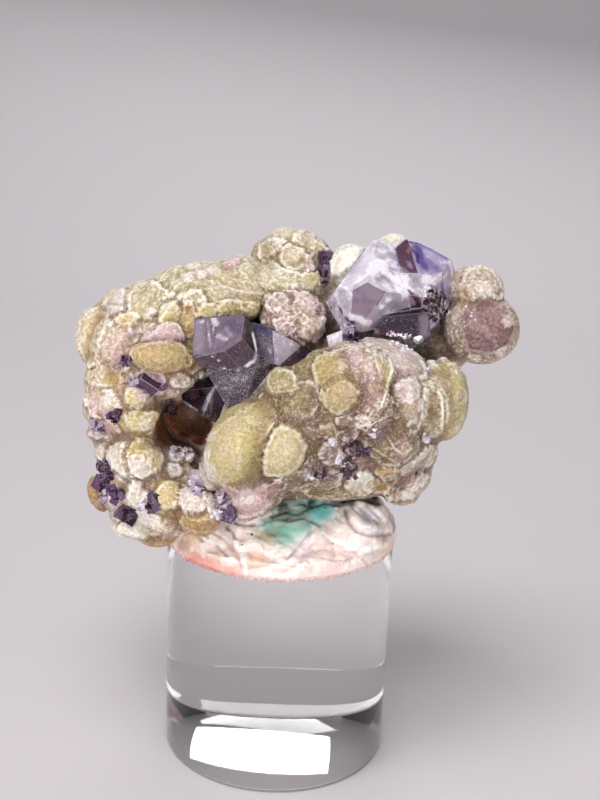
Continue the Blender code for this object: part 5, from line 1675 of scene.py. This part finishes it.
def crust_material():
    """Sugary translucent fluorite: its lobes' colours under a veil of pale grains, painted shade in the
    hollows, painted highlight on the crests, and white specks that are partly grains and partly painted
    glints.
    """
    made, tree, shader = new_material("botryoidal_fluorite")
    place = node(tree, "ShaderNodeTexCoord").outputs["Object"]
    tint = attribute(tree, "tint", "Color")
    crevice_shade = attribute(tree, "crevice_shade")
    crest = attribute(tree, "crest")
    clouds = noise(tree, place, 380, 3.0)
    grain = noise(tree, place, 2600, 4.0, 0.75)
    fine = noise(tree, place, 6500, 2.0)
    shaken = node(tree, "ShaderNodeTexNoise", {"Vector": place, "Scale": 4000, "Detail": 1.0})
    wavy = node(tree, "ShaderNodeVectorMath", {
        0: shaken.outputs["Color"], 1: (0.22 * MM, 0.22 * MM, 0.22 * MM), 2: place,
    }, operation="MULTIPLY_ADD").outputs[0]
    cells = node(tree, "ShaderNodeTexVoronoi", {"Vector": wavy, "Scale": 3400})
    sugar = node(tree, "ShaderNodeTexVoronoi", {"Vector": wavy, "Scale": 1900})

    warm = mixed(tree, ramp(tree, clouds, 0.52, 0.30, 0.0, 0.40), tint, flat((172, 152, 106)))
    rosy = mixed(tree, ramp(tree, clouds, 0.48, 0.70, 0.0, 0.35), warm, flat((212, 180, 176)))
    # Painted shade: the hollows and the contact lines round the caps are darkened toward brown
    shaded = mixed(tree, sums(tree, "MULTIPLY", crevice_shade, 0.65), rosy, flat((112, 82, 60)))
    shade = ramp(tree, grain, 0.32, 0.68, 0.76, 1.16)
    grey = node(tree, "ShaderNodeCombineColor", {"Red": shade, "Green": shade, "Blue": shade})
    grained = mixed(tree, 1.0, shaded, grey.outputs["Color"], "MULTIPLY")
    # The pale veil follows the grain and is thicker on the crests, where it adds painted highlight
    level = sums(tree, "MULTIPLY_ADD", crest, 0.24, grain)
    sugary = attribute(tree, "sugar")
    veil = sums(tree, "MULTIPLY", ramp(tree, level, 0.52, 0.72, 0.0, 0.80),
                ramp(tree, sugary, 0.0, 0.9, 0.2, 1.0))
    paler = mixed(tree, 0.75, tint, flat((248, 242, 232)))
    veiled = mixed(tree, veil, grained, paler)
    # White specks: partly the crust's own sugary grains, partly painted glints
    chance = node(tree, "ShaderNodeSeparateColor", {"Color": sugar.outputs["Color"]}).outputs["Red"]
    lump = sums(tree, "MULTIPLY", ramp(tree, sugar.outputs["Distance"], 0.30, 0.12),
                ramp(tree, chance, 0.70, 1.0, 0.0, 0.60))
    small_chance = node(tree, "ShaderNodeSeparateColor", {"Color": cells.outputs["Color"]})
    speck_and_glint = sums(tree, "MULTIPLY", ramp(tree, cells.outputs["Distance"], 0.34, 0.16),
                 ramp(tree, small_chance.outputs["Green"], 0.58, 1.0, 0.0, 0.55))
    sweet = ramp(tree, sugary, 0.0, 0.9, 0.0, 1.0)
    grains = sums(tree, "MULTIPLY", sums(tree, "MAXIMUM", lump, speck_and_glint), sweet)
    sugar_and_glints = mixed(tree, grains, veiled, flat((252, 246, 238)))
    tree.links.new(sugar_and_glints, shader.inputs["Base Color"])

    tree.links.new(ramp(tree, fine, 0.3, 0.7, 0.22, 0.50), shader.inputs["Roughness"])
    height = sums(tree, "ADD", sums(tree, "MULTIPLY", grain, 0.7), sums(tree, "MULTIPLY", fine, 0.3))
    bump = node(tree, "ShaderNodeBump", {"Height": height, "Strength": 1.0, "Distance": 0.22 * MM})
    turned = node(tree, "ShaderNodeVectorMath", {0: cells.outputs["Color"], 1: (0.5, 0.5, 0.5)},
                  operation="SUBTRACT")
    tilted = node(tree, "ShaderNodeVectorMath", {
        0: turned.outputs[0], 1: (0.38, 0.38, 0.38), 2: bump.outputs["Normal"],
    }, operation="MULTIPLY_ADD")
    facing = node(tree, "ShaderNodeVectorMath", {0: tilted.outputs[0]}, operation="NORMALIZE")
    tree.links.new(facing.outputs[0], shader.inputs["Normal"])
    shader.inputs["Subsurface Weight"].default_value = 0.25
    shader.inputs["Subsurface Radius"].default_value = (1.0, 0.75, 0.45)
    shader.inputs["Subsurface Scale"].default_value = 0.6 * MM
    shader.inputs["IOR"].default_value = 1.434
    return made


def crystal_material(name, absorb, density):
    """Clear fluorite, frosted, patched and dusted, with purple depth, and pale eased edges that are partly
    frosting and partly painted glint.
    """
    made, tree, shader = new_material(name)
    place = node(tree, "ShaderNodeTexCoord").outputs["Object"]
    tint = attribute(tree, "tint", "Color")
    dust = attribute(tree, "dust")
    edge = attribute(tree, "edge")
    bare = sums(tree, "SUBTRACT", 1.0, attribute(tree, "patched"))
    bare_colour = node(tree, "ShaderNodeCombineColor", {"Red": bare, "Green": bare, "Blue": bare})
    patched_tint = node(tree, "ShaderNodeVectorMath", {
        0: tint, 1: bare_colour.outputs["Color"], 2: attribute(tree, "patch", "Color"),
    }, operation="MULTIPLY_ADD").outputs[0]
    frost = sums(tree, "MULTIPLY_ADD", attribute(tree, "frost"), bare, attribute(tree, "patch_frost"))
    clouds = noise(tree, place, 620, 5.0, 0.68)
    grain = noise(tree, place, 4200, 3.0, 0.75)
    streaks = noise(tree, node(tree, "ShaderNodeMapping", {
        "Vector": place, "Scale": (1.0, 1.0, 0.16), "Rotation": (0.4, 0.6, 0.2),
    }).outputs["Vector"], 1500, 3.0, 0.6)
    powder = noise(tree, place, 9000, 1.0, 0.5)

    level = sums(tree, "MULTIPLY_ADD", frost, 0.36, sums(tree, "SUBTRACT", clouds, 0.18))
    veil = ramp(tree, level, 0.48, 0.68, 0.0, 0.58)
    darker = ramp(tree, clouds, 0.50, 0.34, 0.0, 0.30)
    deep = mixed(tree, darker, patched_tint, flat((84, 60, 92)))
    veiled = mixed(tree, veil, deep, flat((240, 234, 242)))
    streak = sums(tree, "MULTIPLY", ramp(tree, streaks, 0.60, 0.70, 0.0, 0.22),
                  ramp(tree, frost, 0.0, 0.25, 0.1, 1.0))
    streaky = mixed(tree, streak, veiled, flat((234, 226, 238)))
    # Pale along the eased edges: partly the edges' own frosting, partly painted glint
    edge_frost_and_glint = mixed(tree, sums(tree, "MULTIPLY", edge, 0.45), streaky, flat((228, 218, 232)))
    heaped = sums(tree, "MULTIPLY_ADD", dust, 0.16, sums(tree, "MULTIPLY_ADD", clouds, 0.25, powder))
    speck = ramp(tree, heaped, 0.84, 0.94, 0.0, 0.7)
    dusted = mixed(tree, speck, edge_frost_and_glint, flat((214, 206, 216)))
    tree.links.new(dusted, shader.inputs["Base Color"])

    hazy = sums(tree, "MAXIMUM", veil, sums(tree, "MAXIMUM", speck, sums(tree, "MULTIPLY", edge, 0.4)))
    tree.links.new(ramp(tree, hazy, 0.0, 0.8, 0.05, 0.50), shader.inputs["Roughness"])
    tree.links.new(ramp(tree, hazy, 0.0, 0.6, 0.30, 0.03), shader.inputs["Transmission Weight"])
    height = sums(tree, "ADD", sums(tree, "MULTIPLY", clouds, 0.4),
                  sums(tree, "MULTIPLY", grain, sums(tree, "ADD", frost, 0.05)))
    bump = node(tree, "ShaderNodeBump", {"Height": height, "Strength": 0.35, "Distance": 0.14 * MM})
    tree.links.new(bump.outputs["Normal"], shader.inputs["Normal"])
    shader.inputs["IOR"].default_value = 1.434
    depth = node(tree, "ShaderNodeVolumeAbsorption")
    depth.inputs["Color"].default_value = flat(absorb)
    depth.inputs["Density"].default_value = density
    tree.links.new(depth.outputs[0], tree.nodes["Material Output"].inputs["Volume"])
    return made


def putty_material():
    """Kneaded putty: matt, with fine wrinkles, dark specks and painted shade in its hollows."""
    made, tree, shader = new_material("kneaded_putty")
    place = node(tree, "ShaderNodeTexCoord").outputs["Object"]
    tint = attribute(tree, "tint", "Color")
    crevice_shade = attribute(tree, "crevice_shade")
    clouds = noise(tree, place, 380, 3.0)
    grain = noise(tree, place, 2100, 3.0, 0.65)
    specks = node(tree, "ShaderNodeTexVoronoi", {"Vector": place, "Scale": 900})
    streaked = mixed(tree, ramp(tree, clouds, 0.5, 0.72, 0.0, 0.35), tint, flat((226, 196, 180)))
    # Painted shade: the hollows are darkened toward a dull pink-brown
    shaded = mixed(tree, sums(tree, "MULTIPLY", crevice_shade, 0.35), streaked, flat((170, 134, 128)))
    chance = node(tree, "ShaderNodeSeparateColor", {"Color": specks.outputs["Color"]}).outputs["Red"]
    ragged = sums(tree, "MULTIPLY_ADD", grain, 0.3, specks.outputs["Distance"])
    dot = sums(tree, "MULTIPLY", ramp(tree, ragged, 0.34, 0.28),
               ramp(tree, chance, 0.93, 0.95))
    dotted = mixed(tree, dot, shaded, flat((54, 42, 40)))
    tree.links.new(dotted, shader.inputs["Base Color"])
    tree.links.new(ramp(tree, grain, 0.3, 0.7, 0.38, 0.62), shader.inputs["Roughness"])
    height = sums(tree, "ADD", sums(tree, "MULTIPLY", clouds, 1.0), sums(tree, "MULTIPLY", grain, 0.4))
    bump = node(tree, "ShaderNodeBump", {"Height": height, "Strength": 0.5, "Distance": 0.25 * MM})
    tree.links.new(bump.outputs["Normal"], shader.inputs["Normal"])
    shader.inputs["Subsurface Weight"].default_value = 0.2
    shader.inputs["Subsurface Radius"].default_value = (1.0, 0.7, 0.6)
    shader.inputs["Subsurface Scale"].default_value = 0.6 * MM
    return made


def acrylic_material():
    """Clear acrylic with faint handling scuffs."""
    made, tree, shader = new_material("clear_acrylic")
    place = node(tree, "ShaderNodeTexCoord").outputs["Object"]
    stretched = node(tree, "ShaderNodeMapping", {"Vector": place, "Scale": (1.0, 1.0, 0.12)})
    scuffs = noise(tree, stretched.outputs["Vector"], 900, 4.0, 0.7)
    tree.links.new(ramp(tree, scuffs, 0.56, 0.80, 0.015, 0.10), shader.inputs["Roughness"])
    bump = node(tree, "ShaderNodeBump", {"Height": scuffs, "Strength": 0.02, "Distance": 0.1 * MM})
    tree.links.new(bump.outputs["Normal"], shader.inputs["Normal"])
    shader.inputs["Base Color"].default_value = flat((252, 252, 251))
    shader.inputs["IOR"].default_value = 1.49
    shader.inputs["Transmission Weight"].default_value = 1.0
    return made


# The pieces

def cut_sockets(piece, sockets):
    """Takes the crystals' places out of a piece of the crust, where they reach it."""
    low = points_of(piece.data).min(axis=0)
    high = points_of(piece.data).max(axis=0)
    for socket in sockets:
        points = points_of(socket.data)
        if (points.max(axis=0) > low).all() and (points.min(axis=0) < high).all():
            boolean(piece, socket, "DIFFERENCE", "MANIFOLD")


def crust_piece(name, spheres, caps, bumps, voxel, fillet, sockets, tree):
    """One part of the crust: fused lobes with caps, grown bumps, lines, sockets and colours."""
    piece = sphere_cluster(name, [grown(matrix, fillet) for matrix, _ in spheres])
    fuse(piece, voxel)
    mesh = piece.data
    points = points_of(mesh)
    for _ in range(FILLET_STEPS):
        step = smoothed(normals_of(mesh), edges_of(mesh), 2)
        points = smoothed(points - fillet / FILLET_STEPS * step, edges_of(mesh), 1)
        set_points(mesh, points)
    set_points(mesh, points)
    if name == "crust_ball":
        points = flattened(points, tree)
        set_points(mesh, points)
    normals = smoothed(normals_of(mesh), edges_of(mesh), 6)
    cap_places = cap_insets(points, normals, caps, tree)
    _, _, lumpy, _, _ = blended_looks(points, spheres, cap_places, bumps)
    points = raised_forms(points, cap_places, bumps)
    set_points(mesh, points)
    wide = round_tops(points, 1.5 * MM, 3)
    small = round_tops(points, 0.7 * MM, 4)
    flats = facets(points, 0.9 * MM, 7) + 0.6 * facets(points, 0.5 * MM, 8)
    grains = facets(points, 0.36 * MM, 9)
    rise = lumpy * MM * (0.11 * wide + 0.07 * small + 0.05 * flats) + MM * (0.02 * flats + 0.03 * grains)
    points = points + normals_of(mesh) * rise[:, None]
    set_points(mesh, points)
    points, _ = lined(points, normals_of(mesh), np.zeros((len(points), 3)), CRUST_LINES, tree)
    set_points(mesh, points)
    cut_sockets(piece, sockets)
    mesh = piece.data
    points = points_of(mesh)
    normals = normals_of(mesh)
    edges = edges_of(mesh)
    nearby = smoothed(points, edges, 4)
    around = smoothed(points, edges, 30)
    fine = ((points - nearby) * normals).sum(axis=1) / (0.045 * MM)
    broad = ((points - around) * normals).sum(axis=1) / (0.28 * MM)
    stands_out = smoothed(0.5 * fine + 0.5 * broad, edges, 1)
    cap_places = cap_insets(points, smoothed(normals, edges, 6), caps, tree)
    body, highlight_colour, lumpy, rim_highlight, contact_shade = blended_looks(points, spheres, cap_places, bumps)
    broken = np.clip(0.45 + 0.55 * round_tops(points, 1.3 * MM, 21), 0, 1)
    # Painted highlight on convex crests and cap rims; painted shade in concave places and round the caps'
    # edges
    crest = np.clip(0.10 + 0.65 * stands_out + 0.7 * rim_highlight * broken, 0, 1)
    crevice_shade = np.clip(-0.9 * stands_out - 0.10 + 0.55 * contact_shade, 0, 1)
    colours = body + crest[:, None] * (highlight_colour - body)
    _, colours = lined(points, normals, colours, CRUST_LINES, tree)
    cave = np.zeros(len(points))
    for lobe in POCKET:
        inverse = np.array(lobe_matrix(lobe).inverted())
        away = np.linalg.norm(points @ inverse[:3, :3].T + inverse[:3, 3], axis=1)
        cave = np.maximum(cave, np.clip((1.20 - away) / 0.14, 0, 1))
    colours += cave[:, None] * (linear(LOOKS["pocket"].body) - colours)
    colours = with_colour_spots(colours, points, CRUST_STAINS_AND_SHADE, tree)
    crest *= 1 - cave
    write_colour(mesh, "tint", colours)
    write_value(mesh, "crest", crest)
    write_value(mesh, "crevice_shade", crevice_shade)
    write_value(mesh, "sugar", lumpy * (1 - cave))
    mesh.shade_smooth()
    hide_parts("botryoidal_mass")
    return piece


def crust(material, tree):
    """The whole crust, in parts that grew over each other."""
    sockets = [crystal_group(name + "_socket", shapes, SOCKET_CLEARANCE)
               for name, shapes in CRYSTAL_GROUPS.items()]
    sockets += [sphere_cluster("pocket", [lobe_matrix(lobe)]) for lobe in POCKET]
    seat = bmesh.new()
    add_rod(seat, SEAT_RADIUS, 0, SEAT_HEIGHT)
    sockets.append(new_object("seat", seat))
    rng = random.Random(STREWN_SEED)
    strewn = [(matrix, rng.choice(STREWN_LOOKS)) for matrix in strewn_matrices()]
    back = [(body_matrix(centre, sizes), "tan") for centre, sizes in BODY] + strewn
    parts = [
        ("crust_upper_left", UPPER_LEFT, UPPER_LEFT_CAPS, UPPER_LEFT_BUMPS, 1.1),
        ("crust_lower_left", LOWER_LEFT, LOWER_LEFT_CAPS, LOWER_LEFT_BUMPS, 1.1),
        ("crust_right", RIGHT_FRONT, RIGHT_CAPS, RIGHT_BUMPS, 1.4),
        ("crust_top", UPPER_MIDDLE, TOP_CAPS, TOP_BUMPS, 0.8),
        ("crust_ball", RIGHT_BALL, BALL_CAPS, BALL_BUMPS, 0.6),
    ]
    pieces = [crust_piece("crust_back", back, [], [], BACK_VOXEL, BACK_FILLET, sockets, tree)]
    for name, lobes, caps, bumps, fillet in parts:
        spheres = [(lobe_matrix(lobe), lobe.look) for lobe in lobes]
        pieces.append(crust_piece(name, spheres, caps, placed_bumps(bumps, tree), FRONT_VOXEL,
                                  fillet * MM, sockets, tree))
    for socket in sockets:
        drop(socket)
    for piece in pieces:
        piece.data.materials.clear()
        piece.data.materials.append(material)
    return pieces


def putty(material):
    """Kneaded putty between the cylinder and the crust."""
    top = STAND_HEIGHT + 0.02 * MM
    disc = bmesh.new()
    add_rod(disc, PUTTY_RADIUS, top - PUTTY_LIP, top + PUTTY_RIM)
    lumps = [body_matrix(centre, sizes) for centre, sizes in PUTTY_LUMPS]
    piece = sphere_cluster("putty", lumps, [disc])
    fuse(piece, PUTTY_VOXEL)
    mesh = piece.data
    points = points_of(mesh)
    ragged = round_tops(points * np.array([1, 1, 0.2]), 0.9 * MM, 31)
    ragged += round_tops(points * np.array([1, 1, 0.2]), 0.45 * MM, 32)
    hanging = np.clip((top + 0.3 * MM - points[:, 2]) / (0.8 * MM), 0, 1)
    points[:, 2] += 0.22 * MM * hanging * ragged
    set_points(mesh, points)
    rod = bmesh.new()
    add_rod(rod, STAND_RADIUS + 0.03 * MM, 0, top, STAND_SIDES)
    cutter = new_object("rod", rod)
    boolean(piece, cutter, "DIFFERENCE", "MANIFOLD")
    drop(cutter)
    mesh = piece.data
    points = points_of(mesh)
    edges = edges_of(mesh)
    normals = normals_of(mesh)
    free = np.clip((points[:, 2] - top - 0.1 * MM) / (0.6 * MM), 0, 1)
    kneaded = grown_bumps(points, 3.2 * MM, 8) - 0.6
    wrinkles = grown_bumps(points * np.array([1, 1, 2.2]), 1.1 * MM, 9) - 0.6
    rise = free * (0.45 * MM * kneaded + 0.16 * MM * wrinkles)
    points = points + normals * rise[:, None]
    set_points(mesh, points)
    faces = [list(face.vertices) for face in mesh.polygons]
    tree = BVHTree.FromPolygons([vert.co for vert in mesh.vertices], faces)
    body = np.tile(linear(PUTTY_BODY), (len(points), 1))
    points, colours = lined(points, normals_of(mesh), body, PUTTY_LINES, tree)
    set_points(mesh, points)
    normals = normals_of(mesh)
    # Raised folds are lightened as painted highlight
    stands_out = ((points - smoothed(points, edges, 12)) * normals).sum(axis=1) / (0.14 * MM)
    crest = np.clip(stands_out, 0, 1)
    colours = colours + 0.6 * crest[:, None] * (linear(PUTTY_HIGHLIGHT) - colours)
    colours = with_colour_spots(colours, points, PUTTY_STAINS_AND_SHADOW, tree)
    beads = np.clip((top + 0.1 * MM - points[:, 2]) / (0.3 * MM), 0, 1) * grown_bumps(points, 0.5 * MM, 33)
    colours += 0.85 * beads[:, None] * (linear(PUTTY_BEADS) - colours)
    write_colour(mesh, "tint", colours)
    # Concave places are marked for painted shade in the material
    write_value(mesh, "crevice_shade", np.clip(-stands_out - 0.15, 0, 1))
    mesh.shade_smooth()
    mesh.materials.clear()
    mesh.materials.append(material)
    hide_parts("mounting_putty")
    return piece


def stand(material):
    """The clear cylinder, turned smooth, with eased rims."""
    rod = bmesh.new()
    add_rod(rod, STAND_RADIUS, 0, STAND_HEIGHT, STAND_SIDES)
    piece = new_object("stand", rod)
    ease = piece.modifiers.new("ease", "BEVEL")
    ease.width = STAND_EASE
    ease.segments = 4
    ease.limit_method = "ANGLE"
    ease.angle_limit = math.radians(60)
    bake_modifiers(piece)
    piece.data.shade_smooth()
    piece.data.set_sharp_from_angle(angle=math.radians(40))
    piece.data.materials.append(material)
    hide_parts("acrylic_stand")
    return piece


# The scene round the object

def studio_floor():
    """A plain pale floor that rises behind the object in one sweep."""
    profile = [(-FLOOR_SIZE, 0.0), (FLOOR_BACK, 0.0)]
    for step in range(1, FLOOR_STEPS + 1):
        angle = math.pi / 2 * step / FLOOR_STEPS
        profile.append((FLOOR_BACK + FLOOR_BEND * math.sin(angle), FLOOR_BEND * (1 - math.cos(angle))))
    profile.append((FLOOR_BACK + FLOOR_BEND, FLOOR_SIZE))
    floor = bmesh.new()
    rows = [[floor.verts.new((side * FLOOR_SIZE, y, z + FLOOR_LEVEL)) for side in (-1, 1)]
            for y, z in profile]
    for near, far in zip(rows, rows[1:]):
        floor.faces.new((near[0], near[1], far[1], far[0]))
    made = new_object("studio_floor", floor)
    material, tree, shader = new_material("pale_floor")
    shader.inputs["Base Color"].default_value = flat((205, 200, 203))
    shader.inputs["Roughness"].default_value = 0.85
    made.data.materials.append(material)
    made.data.shade_smooth()


def light(name, kind, power, size, location, aim):
    lamp = bpy.data.lights.new(name, kind)
    lamp.energy = power
    if kind == "AREA":
        lamp.shape = "RECTANGLE"
        lamp.size, lamp.size_y = size
    made = bpy.data.objects.new(name, lamp)
    bpy.context.scene.collection.objects.link(made)
    made.location = location
    made.rotation_euler = (Vector(aim) - Vector(location)).to_track_quat("-Z", "Y").to_euler()


def studio():
    """Plain soft studio light: a broad light above, a soft one at each side of the camera."""
    middle = (0, 0, 0.045)
    light("above", "AREA", 1.60, (0.26, 0.22), (-0.08, -0.16, 0.46), middle)
    light("left", "AREA", 0.6, (0.25, 0.35), (-0.38, -0.26, 0.16), middle)
    light("right", "AREA", 0.4, (0.25, 0.35), (0.40, -0.24, 0.16), middle)
    light("low", "AREA", 1.75, (0.40, 0.16), (0.0, -0.50, 0.03), middle)
    light("back", "AREA", 0.8, (0.50, 0.20), (0.05, 0.40, 0.28), middle)
    world = bpy.data.worlds.new("studio")
    world.use_nodes = True
    world.node_tree.nodes["Background"].inputs["Color"].default_value = (0.50, 0.48, 0.50, 1)
    world.node_tree.nodes["Background"].inputs["Strength"].default_value = 0.32
    bpy.context.scene.world = world


def camera():
    """The front view's camera, aimed a little lower."""
    ahead, right, above = view_axes(CAMERA_DOWN)
    lens = bpy.data.cameras.new("camera")
    lens.sensor_fit = "VERTICAL"
    lens.sensor_height = SENSOR
    lens.sensor_width = SENSOR
    lens.lens = LENS
    lens.clip_start = 0.005
    lens.clip_end = 20
    made = bpy.data.objects.new("camera", lens)
    bpy.context.scene.collection.objects.link(made)
    turn = Matrix((right, above, -ahead)).transposed().to_4x4()
    made.matrix_world = Matrix.Translation(VIEWPOINT) @ turn
    bpy.context.scene.camera = made


def main():
    tree = tree_of("botryoidal_mass")
    made = crust(crust_material(), tree)
    pale = crystal_material("pale_fluorite_crystal", (190, 170, 214), 90)
    dark = crystal_material("dark_fluorite_crystal", (130, 104, 160), 220)
    small = crystal_material("small_fluorite_crystal", (170, 130, 170), 300)
    by_group = {"upper_purple_crystals": pale, "middle_purple_crystals": dark}
    for name, shapes in CRYSTAL_GROUPS.items():
        made.append(finished_crystals("look_" + name, name, shapes, by_group.get(name, small)))
    made.append(druse(made, small))
    made.append(putty(putty_material()))
    made.append(stand(acrylic_material()))
    for piece in made:
        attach(piece, "root")
    studio_floor()
    studio()
    camera()
    bpy.context.scene.view_settings.view_transform = "Standard"


main()
